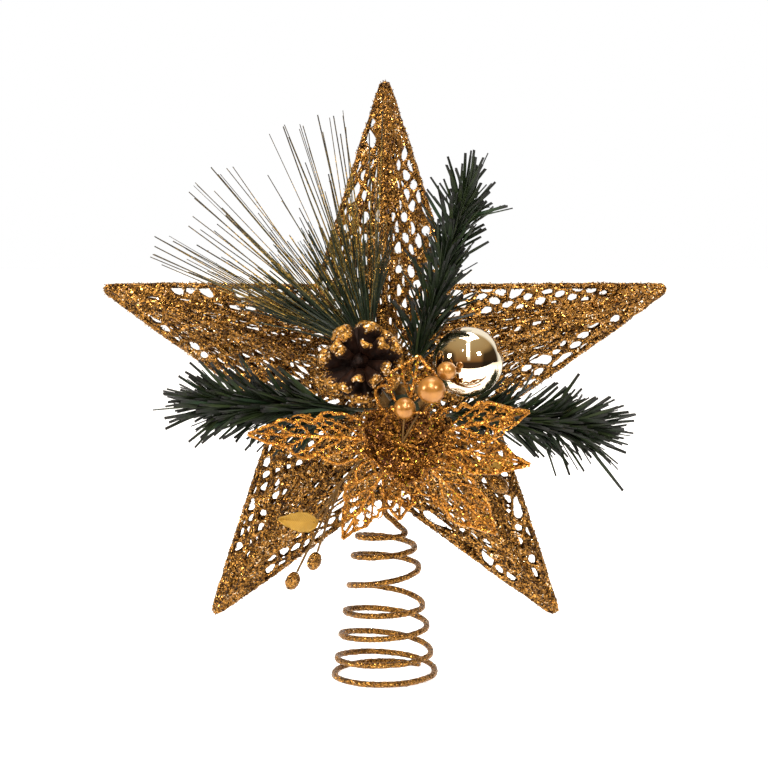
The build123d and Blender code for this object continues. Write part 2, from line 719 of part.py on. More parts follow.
for spray_name, (angle, forward, fork_place, leaves, buds) in leaf_sprays.items():
    root = pick_root(angle, forward)
    fork = pick_place(*fork_place)
    ends = [pick_place(*place) for place, *_ in leaves + buds]
    with BuildPart() as leaf_stem:
        with BuildSketch(Plane(root, z_dir=fork - root)):
            Circle(leaf_stem_diameter / 2)
        extrude(amount=(fork - root).length)
        with Locations(fork):
            Sphere(leaf_stem_diameter / 2)
        for end in ends:
            with BuildSketch(Plane(fork, z_dir=end - fork)):
                Circle(leaf_stem_diameter / 2)
            extrude(amount=(end - fork).length)
    leaf_stem.part.label = f"{spray_name}_stem"
    export_step(leaf_stem.part, f"parts/{spray_name}_stem.step")

    with BuildPart() as leaf_blades:
        for place, length, width, heading in leaves:
            end = pick_place(*place)
            blade = Vector(cos(radians(heading)), 0, sin(radians(heading)))
            blade_start = end + blade * (leaf_stem_diameter / 2 + fit_gap)
            blade_plane = Plane(blade_start, x_dir=blade, z_dir=(0, -1, 0))
            with BuildSketch(blade_plane):
                with BuildLine():
                    ThreePointArc((0, 0), (length / 2, -width / 2), (length, 0))
                    ThreePointArc((length, 0), (length / 2, width / 2), (0, 0))
                make_face()
            extrude(amount=leaf_thickness / 2, both=True)
    leaf_blades.part.label = f"{spray_name}_blades"
    export_step(leaf_blades.part, f"parts/{spray_name}_blades.step")

    with BuildPart() as leaf_buds:
        for place, radius in buds:
            end = pick_place(*place)
            bud_direction = (end - fork).normalized()
            bud_plane = upright_plane(end + bud_direction * (radius + fit_gap), bud_direction)
            with BuildSketch(Plane(bud_plane.origin, x_dir=bud_plane.x_dir, z_dir=bud_plane.y_dir)):
                Ellipse(radius * bud_waist, radius)
                Rectangle(2 * radius, 2 * radius, align=(Align.MAX, Align.CENTER), mode=Mode.SUBTRACT)
            revolve(axis=Axis(bud_plane.origin, bud_plane.z_dir))
    leaf_buds.part.label = f"{spray_name}_buds"
    export_step(leaf_buds.part, f"parts/{spray_name}_buds.step")
    print(f"{spray_name}: hinge at {shown(root)}")

print(f"lean hinge at {shown((0, 0, crotch_z))}, flat foot at {shown((0, coil_foot_radius, 0))}")
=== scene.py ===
import json
from contextlib import contextmanager
from math import cos, pi, radians, sin, sqrt

import bpy
import numpy as np
from bpy.props import FloatProperty, FloatVectorProperty, IntProperty, PointerProperty
from mathutils import Matrix, Vector


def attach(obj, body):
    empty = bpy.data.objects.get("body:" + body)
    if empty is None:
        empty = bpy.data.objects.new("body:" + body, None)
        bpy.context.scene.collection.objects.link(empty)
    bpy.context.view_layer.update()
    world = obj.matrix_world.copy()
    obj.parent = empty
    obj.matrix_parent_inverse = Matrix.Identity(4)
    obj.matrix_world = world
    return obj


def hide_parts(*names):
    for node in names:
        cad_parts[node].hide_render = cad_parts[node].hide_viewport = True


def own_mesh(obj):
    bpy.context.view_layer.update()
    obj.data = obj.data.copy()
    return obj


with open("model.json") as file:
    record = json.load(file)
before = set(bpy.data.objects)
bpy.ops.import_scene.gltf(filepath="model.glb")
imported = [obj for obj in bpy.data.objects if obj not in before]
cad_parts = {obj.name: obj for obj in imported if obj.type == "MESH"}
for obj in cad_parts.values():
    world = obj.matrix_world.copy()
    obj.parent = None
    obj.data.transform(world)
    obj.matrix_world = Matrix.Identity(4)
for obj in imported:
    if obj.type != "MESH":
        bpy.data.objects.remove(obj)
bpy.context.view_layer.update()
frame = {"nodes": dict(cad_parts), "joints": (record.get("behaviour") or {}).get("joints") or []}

bl_info = {
    "name": "Glitter Tree Star",
    "version": (1, 0, 0),
    "blender": (4, 5, 0),
    "location": "View3D > Sidebar > Tree Star",
    "description": "Dresses the wire star: glitter netting, coil, pine, cone, ball and lace flower",
    "category": "Object",
}

MM = 0.001
ARMS = ("top", "left", "lower_left", "lower_right", "right")
ARM_STEP = 72.0
GOLDEN_ANGLE = 137.508
CENTRE = Vector((0, 0, 138.232)) * MM
CORE = Vector((8.229, -28.45, 126.906)) * MM
CROTCH_Z = 85.5 * MM

# Places in the pick, in millimetres from the middle of the core's back face
CONE = (-18, 7.2, 21.5)
BALL = (27.5, 17, 22.5)
FLOWER = (-1, 31, -10)
SPRAY_KNOT = (-18, 2.6, 29)
RIGHT_LEAF_MIDDLE = (40, 10.5, -22)

# Ends of a mask
BLACK = (0, 0, 0, 1)
WHITE = (1, 1, 1, 1)


# Values a user would change

def length(name, description, default):
    """A length of the star, in metres."""
    return FloatProperty(name=name, description=description, default=default, min=0.0,
                         unit="LENGTH", subtype="DISTANCE")


def colour(name, description, default):
    """A colour of the star."""
    return FloatVectorProperty(name=name, description=description, default=default, size=3,
                               min=0.0, max=1.0, subtype="COLOR")


def number(name, description, default):
    """A count of like pieces."""
    return IntProperty(name=name, description=description, default=default, min=1)


class STAR_PG_frame(bpy.types.PropertyGroup):
    corner_radius: length("Point Radius", "Centre of the star to the corner of a point", 0.139)
    inner_radius: length("Crotch Radius", "Centre of the star to a crotch", 0.052)
    half_depth: length("Half Depth", "Middle plane to the hub of the ridges", 0.024)
    edge_roll: length("Edge Roll", "Radius of the net rolled over the outline wire", 0.0013)
    ridge_roll: length("Ridge Roll", "Radius of the net gathered over a ridge wire", 0.0014)
    net_pitch: length("Net Pitch", "Length of one mesh of the net", 0.0098)
    net_row: length("Net Row", "Half the height of one mesh of the net", 0.0035)
    strand: length("Net Strand", "Width of a glittered strand", 0.0027)
    unevenness: length("Net Unevenness", "How far a knot strays", 0.0020)
    flake: length("Glitter Flake", "Width of a glitter flake", 0.00085)


class STAR_PG_coil(bpy.types.PropertyGroup):
    wire: length("Wire", "Radius of the coated wire", 0.0014)
    foot_radius: length("Foot Radius", "Radius of the lowest turn", 0.0234)
    head_radius: length("Head Radius", "Radius of the highest turn", 0.012)
    head_height: length("Head Height", "Height of the highest turn", 0.068)


class STAR_PG_pine(bpy.types.PropertyGroup):
    needles: number("Branch Needles", "Needles on one branch", 420)
    needle_length: length("Needle Length", "Longest needle of a branch", 0.028)
    needle_width: length("Needle Width", "Width of a cut film needle", 0.0015)
    strands: number("Spray Needles", "Long needles of the spray", 92)
    tufts: number("Spray Tuft", "Short green needles at the spray's foot", 230)
    strand_length: length("Spray Length", "Longest needle of the spray", 0.100)
    strand_width: length("Spray Width", "Width of a spray needle", 0.00055)


class STAR_PG_trim(bpy.types.PropertyGroup):
    ball_radius: length("Ball Radius", "Radius of the mirror ball", 0.0152)
    petal_rim: length("Petal Rim", "Width of a petal's rim", 0.0019)
    petal_vein: length("Petal Vein", "Width of a petal's veins", 0.0012)


class STAR_PG_colours(bpy.types.PropertyGroup):
    # Painted shade and painted glint: the darkest and the palest glitter colours, laid on flakes by a random
    # value and not by how they face the light
    glitter_painted_shade: colour("Glitter Shade", "Glitter that faces away", (0.030, 0.011, 0.002))
    glitter: colour("Glitter", "Body colour of the glitter", (0.35, 0.163, 0.029))
    glitter_painted_glint: colour("Glitter Spark", "Glitter that catches the light", (1.0, 0.90, 0.70))
    lace: colour("Lace", "Body colour of the flower", (0.36, 0.143, 0.017))
    # Painted shade: the darkest lace colour, laid on flakes by a random value and not by how they face the
    # light
    lace_painted_shade: colour("Lace Shade", "Lace that faces away", (0.050, 0.014, 0.002))
    lace_fleck: colour("Lace Fleck", "Yellow flecks among the lace", (0.55, 0.47, 0.03))
    needle: colour("Needle", "Green of the film needles", (0.0070, 0.0125, 0.0045))
    needle_tip: colour("Needle Tip", "Cut ends of the needles", (0.010, 0.010, 0.009))
    spray: colour("Spray", "Olive gold on the long needles", (0.17, 0.105, 0.018))
    cone: colour("Cone", "Brown of the cone's scales", (0.010, 0.0032, 0.0013))
    ball: colour("Ball", "Mirror gold of the ball", (0.93, 0.80, 0.58))
    pearl: colour("Pearl", "Gold of the berries", (0.36, 0.140, 0.018))
    satin: colour("Satin", "Gold of the leaves", (0.30, 0.165, 0.017))
    floor: colour("Floor", "Pale floor", (0.93, 0.93, 0.93))


# Shader maths

def feed(tree, socket, value):
    """Links a value to a socket, or sets a plain one on it."""
    if isinstance(value, Value):
        tree.links.new(value.socket, socket)
    else:
        socket.default_value = value


class Value:
    """One output of a node, with the sums that the finishes use."""

    def __init__(self, tree, socket):
        self.tree = tree
        self.socket = socket

    def worked(self, operation, first, second):
        node = self.tree.nodes.new("ShaderNodeMath")
        node.operation = operation
        feed(self.tree, node.inputs[0], first)
        feed(self.tree, node.inputs[1], second)
        return Value(self.tree, node.outputs[0])

    def __add__(self, other):
        return self.worked("ADD", self, other)

    def __sub__(self, other):
        return self.worked("SUBTRACT", self, other)

    def __rsub__(self, other):
        return self.worked("SUBTRACT", other, self)

    def __mul__(self, other):
        return self.worked("MULTIPLY", self, other)

    __radd__ = __add__
    __rmul__ = __mul__


class Nodes:
    """A node tree being wired, with one way to add its nodes."""

    def __init__(self, tree):
        self.tree = tree

    def node(self, kind, settings=None, sockets=None, output=0):
        node = self.tree.nodes.new(kind)
        for key, value in (settings or {}).items():
            if key == "stops":
                ramp = node.color_ramp
                while len(ramp.elements) < len(value):
                    ramp.elements.new(1.0)
                for element, (position, shade) in zip(ramp.elements, value):
                    element.position = position
                    element.color = shade
            else:
                setattr(node, key, value)
        for key, value in (sockets or {}).items():
            feed(self.tree, node.inputs[key], value)
        return Value(self.tree, node.outputs[output])

    def ramp(self, share, *stops):
        return self.node("ShaderNodeValToRGB", {"stops": stops}, {"Fac": share})

    def mask(self, share, low, high):
        return self.ramp(share, (low, BLACK), (high, WHITE))

    def mixed(self, share, first, second):
        return self.node("ShaderNodeMix", {"data_type": "RGBA"}, {0: share, 6: first, 7: second}, 2)

    def vector(self, operation, sockets):
        return self.node("ShaderNodeVectorMath", {"operation": operation}, sockets)


class Finish(Nodes):
    """A material being mixed."""

    def __init__(self, name, **fixed):
        self.material = bpy.data.materials.new(name)
        self.material.use_nodes = True
        super().__init__(self.material.node_tree)
        self.shader = self.tree.nodes["Principled BSDF"]
        for key, value in fixed.items():
            self.shader.inputs[key.replace("_", " ")].default_value = value
        self.place = self.node("ShaderNodeTexCoord", output="Object")

    def noise(self, scale, detail=2.0):
        return self.node("ShaderNodeTexNoise", {}, {"Vector": self.place, "Scale": scale, "Detail": detail})

    def cells(self, scale):
        return self.node("ShaderNodeTexVoronoi", {"feature": "F1"},
                         {"Vector": self.place, "Scale": scale}, "Color")

    def channel(self, tint, index):
        return self.node("ShaderNodeSeparateColor", {}, {"Color": tint}, index)

    def weave(self, direction, scale, distortion, detail):
        return self.node("ShaderNodeTexWave", {"bands_direction": direction},
                         {"Vector": self.place, "Scale": scale, "Distortion": distortion, "Detail": detail},
                         "Fac")

    def reading(self, name):
        return self.node("ShaderNodeAttribute", {"attribute_name": name}, {}, "Fac")

    def bumped(self, height, distance, strength):
        return self.node("ShaderNodeBump", {},
                         {"Height": height, "Distance": distance, "Strength": strength})

    def drive(self, **sockets):
        for key, value in sockets.items():
            feed(self.tree, self.shader.inputs[key.replace("_", " ")], value)
        return self.material


def rgba(shade, *gains):
    """A colour as a socket takes it, made stronger by one gain for all or one for each channel."""
    red, green, blue = gains if len(gains) == 3 else 3 * (gains or (1.0,))
    return (shade[0] * red, shade[1] * green, shade[2] * blue, 1.0)


def glitter(name, dark, body, bright, grain=0.0007, tilt=1.5, spread=0.95, patchy=1.0, accent=None):
    """Loose metal flakes on glue: each cell has a tone, a gloss and a lean of its own; tone, patches and
    spark paint shade and glints into the colour.
    """
    finish = Finish(name, Metallic=0.8)
    cell = finish.cells(1 / grain)
    tone, gloss, odd = (finish.channel(cell, index) for index in range(3))
    # Painted shade and painted glints: each cell's tone, larger noise patches and the spark value set how
    # dark or pale a flake is coloured
    patches = finish.noise(190.0, 3.0)
    middle = 0.38 - (spread + patchy) / 2
    shade = tone * spread + patches * patchy + finish.reading("spark") * 0.45 + middle
    # The ramp runs from the painted shade colour through the body colour to the painted glint colour
    tint = finish.ramp(shade, (0.08, rgba(dark)), (0.32, rgba(body, 0.5)), (0.58, rgba(body)),
                       (0.84, rgba(body, 1.7)), (0.96, rgba(bright)))
    if accent:
        tint = finish.mixed(finish.mask(odd, 0.985, 0.988), tint, rgba(accent))
    leaning = finish.vector("SUBTRACT", {0: cell, 1: (0.5, 0.5, 0.5)})
    leaning = finish.vector("SCALE", {0: leaning, "Scale": tilt})
    surface = finish.node("ShaderNodeNewGeometry", output="Normal")
    facing = finish.vector("NORMALIZE", {0: finish.vector("ADD", {0: surface, 1: leaning})})
    return finish.drive(Base_Color=tint, Roughness=gloss * 0.35 + 0.12, Normal=facing)


def film(name, body, tip):
    """Cut film needles: green that differs from needle to needle, grey at the cut ends."""
    finish = Finish(name, Specular_IOR_Level=0.2)
    own = finish.reading("shade")
    along = finish.reading("along")
    streaks = finish.noise(420.0)
    green = finish.ramp(own + streaks * 0.3 - 0.15, (0.0, rgba(body, 0.45)), (0.45, rgba(body)),
                        (0.8, rgba(body, 2.2, 1.9, 1.3)), (1.0, rgba(body, 1.3, 1.9, 2.0)))
    tint = finish.mixed(finish.mask(along, 0.72, 0.97), green, rgba(tip))
    return finish.drive(Base_Color=tint, Roughness=own * 0.2 + 0.36,
                        Normal=finish.bumped(streaks, 0.0001, 0.4))


def spray_film(name, base, gold, tip):
    """Long spray needles: green at the knot, olive gold along them, dark thin ends."""
    finish = Finish(name, Specular_IOR_Level=0.3)
    own = finish.reading("shade")
    along = finish.reading("along")
    tone = finish.channel(finish.cells(1300.0), 0)
    gilt = finish.ramp(tone, (0.1, rgba(gold, 0.3)), (0.6, rgba(gold)), (0.95, rgba(gold, 2.6)))
    green = finish.ramp(own, (0.0, rgba(base, 0.8)), (1.0, rgba(base, 2.2)))
    zone = finish.ramp(along + own * 0.4, (0.44, BLACK), (0.66, WHITE), (0.95, WHITE),
                       (1.0, (0.2, 0.2, 0.2, 1)))
    stalk = finish.mixed(finish.mask(along, 0.55, 0.9), green, rgba(tip))
    tint = finish.mixed(zone * (0.45 + 0.55 * tone), stalk, gilt)
    return finish.drive(Base_Color=tint, Roughness=tone * 0.3 + 0.35, Metallic=zone * 0.5)


def cone_wood(name, wood, gilt, bright):
    """Dry cone scales: fibrous brown, tan on the swollen ends and gilded on their rims."""
    finish = Finish(name, Specular_IOR_Level=0.12)
    along = finish.reading("along")
    own = finish.reading("shade")
    fibre = finish.noise(300.0, 5.0)
    brown = finish.ramp(fibre + own * 0.25, (0.30, rgba(wood, 0.2)), (0.6, rgba(wood)),
                        (0.9, rgba(wood, 2.2)))
    pale = finish.ramp(fibre, (0.3, rgba(wood, 1.5)), (0.7, rgba(wood, 4.0, 4.6, 4.0)))
    bark = finish.mixed(finish.mask(along, 0.68, 0.88), brown, pale)
    tone = finish.channel(finish.cells(1500.0), 0)
    # Painted glint: the gilding's palest cells take the glint colour
    gold = finish.ramp(tone, (0.1, rgba(gilt, 0.35)), (0.6, rgba(gilt)), (0.9, rgba(gilt, 1.7)),
                       (1.0, rgba(bright)))
    edge = finish.mask(along + (fibre - 0.5) * 0.6 + (tone - 0.5) * 0.2, 0.80, 0.90)
    return finish.drive(Base_Color=finish.mixed(edge, bark, gold), Metallic=edge * 0.6,
                        Roughness=0.6 - edge * 0.2, Normal=finish.bumped(fibre, 0.0006, 0.7))


def mirror(name, tint):
    """Metallised ball: a mirror with the faint waviness of a blown shell."""
    finish = Finish(name, Metallic=1.0)
    wave = finish.noise(60.0, 1.0)
    haze = finish.noise(900.0, 2.0)
    body = finish.ramp(wave, (0.3, rgba(tint, 0.94)), (0.7, rgba(tint)))
    return finish.drive(Base_Color=body, Roughness=haze * 0.05 + 0.02,
                        Normal=finish.bumped(wave, 0.0002, 0.15))


def pearl(name, tint):
    """Pearl beads: a warm satin body under a clear coat."""
    finish = Finish(name, Metallic=0.5, Coat_Weight=0.3, Coat_Roughness=0.2)
    cloud = finish.noise(240.0, 3.0)
    body = finish.ramp(cloud, (0.3, rgba(tint, 0.75)), (0.7, rgba(tint, 1.1, 1.2, 1.5)))
    return finish.drive(Base_Color=body, Roughness=cloud * 0.2 + 0.22,
                        Normal=finish.bumped(cloud, 0.0002, 0.4))


def satin(name, tint):
    """Satin leaf: a fine weave with a soft shine."""
    finish = Finish(name, Metallic=0.15, Specular_IOR_Level=0.3, Sheen_Weight=0.1, Sheen_Roughness=0.4)
    warp = finish.weave("DIAGONAL", 700.0, 1.5, 1.0)
    cloud = finish.noise(120.0, 3.0)
    body = finish.ramp(cloud * 0.7 + warp * 0.3, (0.2, rgba(tint, 0.6)), (0.8, rgba(tint, 1.25)))
    return finish.drive(Base_Color=body, Roughness=warp * 0.15 + 0.45,
                        Normal=finish.bumped(warp, 0.0001, 0.5))


def drawn_wire(name, tint, metallic=1.0, rough=0.3):
    """Wire: streaks of drawing and a little dulling."""
    finish = Finish(name, Metallic=metallic)
    streak = finish.noise(900.0, 3.0)
    dull = finish.noise(150.0)
    body = finish.ramp(dull, (0.3, rgba(tint, 0.6)), (0.7, rgba(tint)))
    return finish.drive(Base_Color=body, Roughness=streak * 0.25 + rough,
                        Normal=finish.bumped(streak, 0.0001, 0.4))


def crepe_tape(name, tint):
    """Stem tape: stretched crepe with fine cross wrinkles."""
    finish = Finish(name, Specular_IOR_Level=0.25)
    wrinkle = finish.weave("Y", 320.0, 4.0, 2.0)
    cloud = finish.noise(200.0)
    body = finish.ramp(cloud, (0.3, rgba(tint, 0.6)), (0.7, rgba(tint, 1.4)))
    return finish.drive(Base_Color=body, Roughness=wrinkle * 0.2 + 0.55,
                        Normal=finish.bumped(wrinkle, 0.0003, 0.6))


def set_glue(name, tint):
    """Set glue: milky, with ripples and a wet gloss."""
    finish = Finish(name, Subsurface_Weight=0.2, Subsurface_Radius=(0.002, 0.0015, 0.001))
    ripple = finish.noise(180.0, 3.0)
    body = finish.ramp(ripple, (0.3, rgba(tint, 0.8)), (0.7, rgba(tint)))
    return finish.drive(Base_Color=body, Roughness=ripple * 0.25 + 0.15,
                        Normal=finish.bumped(ripple, 0.0006, 0.5))


# Making meshes

def start():
    """Leaves edit mode and lets go of everything."""
    if bpy.context.mode != "OBJECT":
        bpy.ops.object.mode_set(mode="OBJECT")
    bpy.ops.object.select_all(action="DESELECT")


def take(piece):
    """Makes one piece the selected and active one."""
    start()
    piece.select_set(True)
    bpy.context.view_layer.objects.active = piece
    return piece


@contextmanager
def editing(piece):
    """Edits a piece with all of it selected."""
    take(piece)
    bpy.ops.object.mode_set(mode="EDIT")
    bpy.ops.mesh.select_all(action="SELECT")
    yield
    bpy.ops.object.mode_set(mode="OBJECT")


@contextmanager
def picked(piece, domain, chosen):
    """Edits a piece with some of its faces, edges or points selected."""
    take(piece)
    bpy.ops.object.mode_set(mode="EDIT")
    bpy.ops.mesh.select_mode(type=domain)
    bpy.ops.mesh.select_all(action="DESELECT")
    bpy.ops.object.mode_set(mode="OBJECT")
    parts = {"VERT": piece.data.vertices, "EDGE": piece.data.edges, "FACE": piece.data.polygons}[domain]
    parts.foreach_set("select", np.asarray(chosen, dtype=bool))
    bpy.ops.object.mode_set(mode="EDIT")
    yield
    bpy.ops.object.mode_set(mode="OBJECT")


def called(name):
    """Names the active piece."""
    piece = bpy.context.object
    piece.name = name
    piece.data.name = name
    return piece


def grid(name, columns, rows, size):
    """A flat grid at the origin."""
    start()
    bpy.ops.mesh.primitive_grid_add(x_subdivisions=columns, y_subdivisions=rows, size=size)
    return called(name)


def sphere(name, radius, segments, rings):
    """A sphere at the origin."""
    start()
    bpy.ops.mesh.primitive_uv_sphere_add(segments=segments, ring_count=rings, radius=radius)
    return called(name)


def bevelled(piece, width, steps):
    """Rounds the edges of a piece."""
    with editing(piece):
        bpy.ops.mesh.bevel(offset=width, segments=steps)
    return piece


def drum(name, radius, depth, place, sides):
    """A cylinder with rounded edges that lies from front to back."""
    start()
    bpy.ops.mesh.primitive_cylinder_add(vertices=sides, radius=radius, depth=depth, location=place,
                                        rotation=(pi / 2, 0, 0))
    piece = called(name)
    bpy.ops.object.transform_apply(location=True, rotation=True)
    return bevelled(piece, width=0.0012, steps=3)


def modify(piece, kind, **settings):
    """Adds a modifier and applies it."""
    take(piece)
    modifier = piece.modifiers.new(kind.title(), kind)
    for key, value in settings.items():
        setattr(modifier, key, value)
    bpy.ops.object.modifier_apply(modifier=modifier.name)
    return piece


def rounded(piece):
    """Subdivides a piece smoothly."""
    return modify(piece, "SUBSURF", levels=1, render_levels=1)


def roughen(piece, strength, grain):
    """Raises lumps on a piece."""
    lumps = bpy.data.textures.new(piece.name + "_lumps", "CLOUDS")
    lumps.noise_scale = grain
    lumps.noise_depth = 2
    return modify(piece, "DISPLACE", texture=lumps, texture_coords="GLOBAL", strength=strength, mid_level=0.5)


def points_of(piece):
    """The piece's points as an array."""
    flat = np.empty(len(piece.data.vertices) * 3, dtype=np.float32)
    piece.data.vertices.foreach_get("co", flat)
    return flat.reshape(-1, 3).astype(float)


def move_points(piece, points):
    """Puts the piece's points where an array says."""
    piece.data.vertices.foreach_set("co", np.asarray(points, dtype=np.float32).ravel())
    piece.data.update()
    return piece


def note(piece, name, values):
    """Keeps a number for each point, or one for all, for the finish to read."""
    layer = piece.data.attributes.get(name) or piece.data.attributes.new(name, "FLOAT", "POINT")
    layer.data.foreach_set("value", np.broadcast_to(values, len(layer.data)).astype(np.float32))


def joined(name, pieces):
    """Makes several pieces one."""
    first, *others = pieces
    take(first)
    for piece in others:
        piece.select_set(True)
    if others:
        bpy.ops.object.join()
    return called(name)


def doubled(piece):
    """A copy of a piece with a mesh of its own."""
    copy = piece.copy()
    copy.data = piece.data.copy()
    bpy.context.collection.objects.link(copy)
    return copy


def removed(piece):
    """Deletes a model that has been copied."""
    mesh = piece.data
    bpy.data.objects.remove(piece)
    bpy.data.meshes.remove(mesh)


def placed(piece, x, y, z, origin):
    """Stands a piece made at the origin on three axes and applies its place."""
    take(piece)
    matrix = Matrix((x, y, z)).transposed().to_4x4()
    matrix.translation = origin
    piece.matrix_world = matrix
    bpy.ops.object.transform_apply(location=True, rotation=True, scale=True)
    return piece


def stood(piece, axis, origin, level=(0, 1, 0)):
    """Stands a piece made along z on an axis, with its x axis square to a level direction."""
    sideways = Vector(level).cross(axis).normalized()
    return placed(piece, sideways, axis.cross(sideways), axis, origin)


def outwards(piece):
    """Turns the faces of a closed piece outwards."""
    with editing(piece):
        bpy.ops.mesh.remove_doubles(threshold=1e-7)
        bpy.ops.mesh.normals_make_consistent(inside=False)
    return piece


def smooth(piece):
    """Shades a piece smooth, with its sharp edges kept."""
    take(piece)
    bpy.ops.object.shade_smooth_by_angle(angle=radians(50))
    return piece


def even(points):
    """A line of one thickness, for wire."""
    return [(point, 1.0) for point in points]


def wire(name, lines, radius, cyclic=False, kind="NURBS", sides=2, steps=6):
    """Round wire along one or more lines of (point, share of the radius), as a mesh."""
    start()
    curve = bpy.data.curves.new(name, "CURVE")
    curve.dimensions = "3D"
    curve.bevel_depth = radius
    curve.bevel_resolution = sides
    curve.use_fill_caps = True
    for line in lines:
        spline = curve.splines.new(kind)
        knots = spline.bezier_points if kind == "BEZIER" else spline.points
        knots.add(len(line) - 1)
        for knot, (point, share) in zip(knots, line):
            knot.co = tuple(point) if kind == "BEZIER" else (*point, 1.0)
            knot.radius = share
            if kind == "BEZIER":
                knot.handle_left_type = knot.handle_right_type = "AUTO"
        spline.use_cyclic_u = cyclic
        spline.resolution_u = steps
        if kind == "NURBS":
            spline.order_u = 3
            spline.use_endpoint_u = not cyclic
    piece = bpy.data.objects.new(name, curve)
    bpy.context.collection.objects.link(piece)
    take(piece)
    bpy.ops.object.convert(target="MESH")
    return outwards(called(name))


# Laying many copies

def unit(rows):
    """The rows of an array, each made one unit long."""
    return rows / np.linalg.norm(rows, axis=-1, keepdims=True)


def cross_axes(direction):
    """A direction made one unit long, and two axes square to it."""
    axis = unit(np.array(direction, dtype=float))
    sideways = unit(np.cross([0.0, 1.0, 0.0], axis))
    return axis, sideways, np.cross(axis, sideways)


def frames_on(directions, spins):
    """Frames whose z axis runs along a direction, each turned by its spin."""
    z = unit(directions)
    aside = np.where(np.abs(z[:, :1]) < 0.8, [[1.0, 0.0, 0.0]], [[0.0, 1.0, 0.0]])
    x = unit(np.cross(aside, z))
    turned = x * np.cos(spins)[:, None] + np.cross(z, x) * np.sin(spins)[:, None]
    return np.stack([turned, np.cross(z, turned), z], axis=2)


def lay_copies(name, model, turns, places, sizes, bends=None, along=None, **notes):
    """Copies of a model, which is used up, as one mesh, each with its turn, place, size, bend and notes.

    Where along gives an axis and lengths, each point also gets how far along its copy it lies.
    """
    shape = points_of(model)
    faces = [tuple(face.vertices) for face in model.data.polygons]
    count, step = len(places), len(shape)
    local = shape[None] * sizes[:, None]
    if bends is not None:
        local[:, :, 0] += bends[:, None] * shape[None, :, 2] ** 2
    points = np.einsum("nij,nvj->nvi", turns, local) + places[:, None]
    mesh = bpy.data.meshes.new(name)
    mesh.from_pydata(points.reshape(-1, 3), [], [tuple(i + k * step for i in face)
                                                 for k in range(count) for face in faces])
    piece = bpy.data.objects.new(name, mesh)
    bpy.context.collection.objects.link(piece)
    for key, values in notes.items():
        note(piece, key, np.repeat(values, step))
    if along:
        axis, lengths = along
        note(piece, "along", np.outer(np.broadcast_to(lengths, count), shape[:, axis]).ravel())
    removed(model)
    return piece


def flake_model():
    """One glitter flake: a small uneven chip."""
    start()
    bpy.ops.mesh.primitive_cone_add(vertices=3, radius1=0.6, radius2=0, depth=0.5)
    return called("flake")


def dust(piece, count, size, seed, sink=0.2, keep=None, stretch=0.7):
    """Scatters glitter over a piece and joins it on: chips, or shreds where the stretch is long."""
    rng = np.random.default_rng(seed)
    mesh = piece.data
    mesh.calc_loop_triangles()
    corners = np.empty(len(mesh.loop_triangles) * 3, dtype=np.int32)
    mesh.loop_triangles.foreach_get("vertices", corners)
    corners = corners.reshape(-1, 3)
    points = points_of(piece)
    if keep is not None:
        corners = corners[keep(points[corners].mean(axis=1))]
    a, b, c = (points[corners[:, i]] for i in range(3))
    normal = np.cross(b - a, c - a)
    area = np.linalg.norm(normal, axis=1)
    chosen = rng.choice(len(corners), count, p=area / area.sum())
    u, v = rng.random(count), rng.random(count)
    u, v = np.where(u + v > 1, 1 - u, u), np.where(u + v > 1, 1 - v, v)
    normal = normal[chosen] / area[chosen][:, None]
    place = a[chosen] + (b - a)[chosen] * u[:, None] + (c - a)[chosen] * v[:, None]
    lean = normal * (1.0 if stretch < 1 else 0.35) + rng.normal(0, 0.8, (count, 3))
    width = size * rng.uniform(0.45, 1.1, count)
    place += normal * (width * sink)[:, None]
    turns = frames_on(lean, rng.uniform(0, 2 * pi, count))
    breadth = width * rng.uniform(0.6, 1.0, count)
    height = width * stretch * rng.uniform(0.6, 1.2, count)
    # Each flake gets a random spark value: a painted glint or painted shade in its glitter colour
    flakes = lay_copies("flakes", flake_model(), turns, place, np.stack([width, breadth, height], axis=1),
                        spark=rng.uniform(-0.7, 1.0, count))
    for material in mesh.materials:
        flakes.data.materials.append(material)
    return joined(piece.name, [piece, flakes])


# Placing pieces

def coat(piece, material):
    """Gives a piece one material."""
    piece.data.materials.clear()
    piece.data.materials.append(material)
    return piece


def fit(piece, body, slot, *nodes):
    """Lets a piece ride on its body and stand for its CAD nodes."""
    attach(piece, body)
    if nodes:
        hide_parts(*nodes)


def outward_at(angle):
    """Direction at an angle in the star's plane, in degrees from its right."""
    return Vector((cos(radians(angle)), 0, sin(radians(angle))))


def star_point(radius, angle, depth=0.0):
    """Place on the star: radius and angle in its plane, depth behind it."""
    return CENTRE + Vector((radius * cos(radians(angle)), depth, radius * sin(radians(angle))))


def pick_point(across, forward, up):
    """Place in the pick, in millimetres from the middle of the core's back face."""
    return CORE + Vector((across, -forward, up)) * MM


def pick_root(angle, forward, reach=7.7):
    """Place off the core's side where a stem leaves it."""
    return pick_point(reach * cos(radians(angle)), forward, reach * sin(radians(angle)))


def carried(points, body, limit):
    """Points carried with a body to the lower (0) or upper (1) limit of its joint."""
    joint = next(joint for joint in frame["joints"] if joint["child"] == body)
    turn = np.array(Matrix.Rotation(radians(joint["range_deg"][limit]), 3, Vector(joint["axis"])))
    pivot = np.array(joint["pos_m"])
    return (points - pivot) @ turn.T + pivot


def star_glitter():
    """The glitter of the star, mixed once."""
    shades = bpy.context.scene.tree_star_colours
    return bpy.data.materials.get("star_glitter") or glitter(
        "star_glitter", shades.glitter_painted_shade, shades.glitter, shades.glitter_painted_glint)


def coil_glitter():
    """The closer, evener glitter of the coil and its lashing, mixed once."""
    shades = bpy.context.scene.tree_star_colours
    return bpy.data.materials.get("coil_glitter") or glitter(
        "coil_glitter", shades.glitter_painted_shade, shades.glitter, shades.glitter_painted_glint,
        grain=0.0005, tilt=1.2, spread=0.75, patchy=0.4)


# Coil and lashing

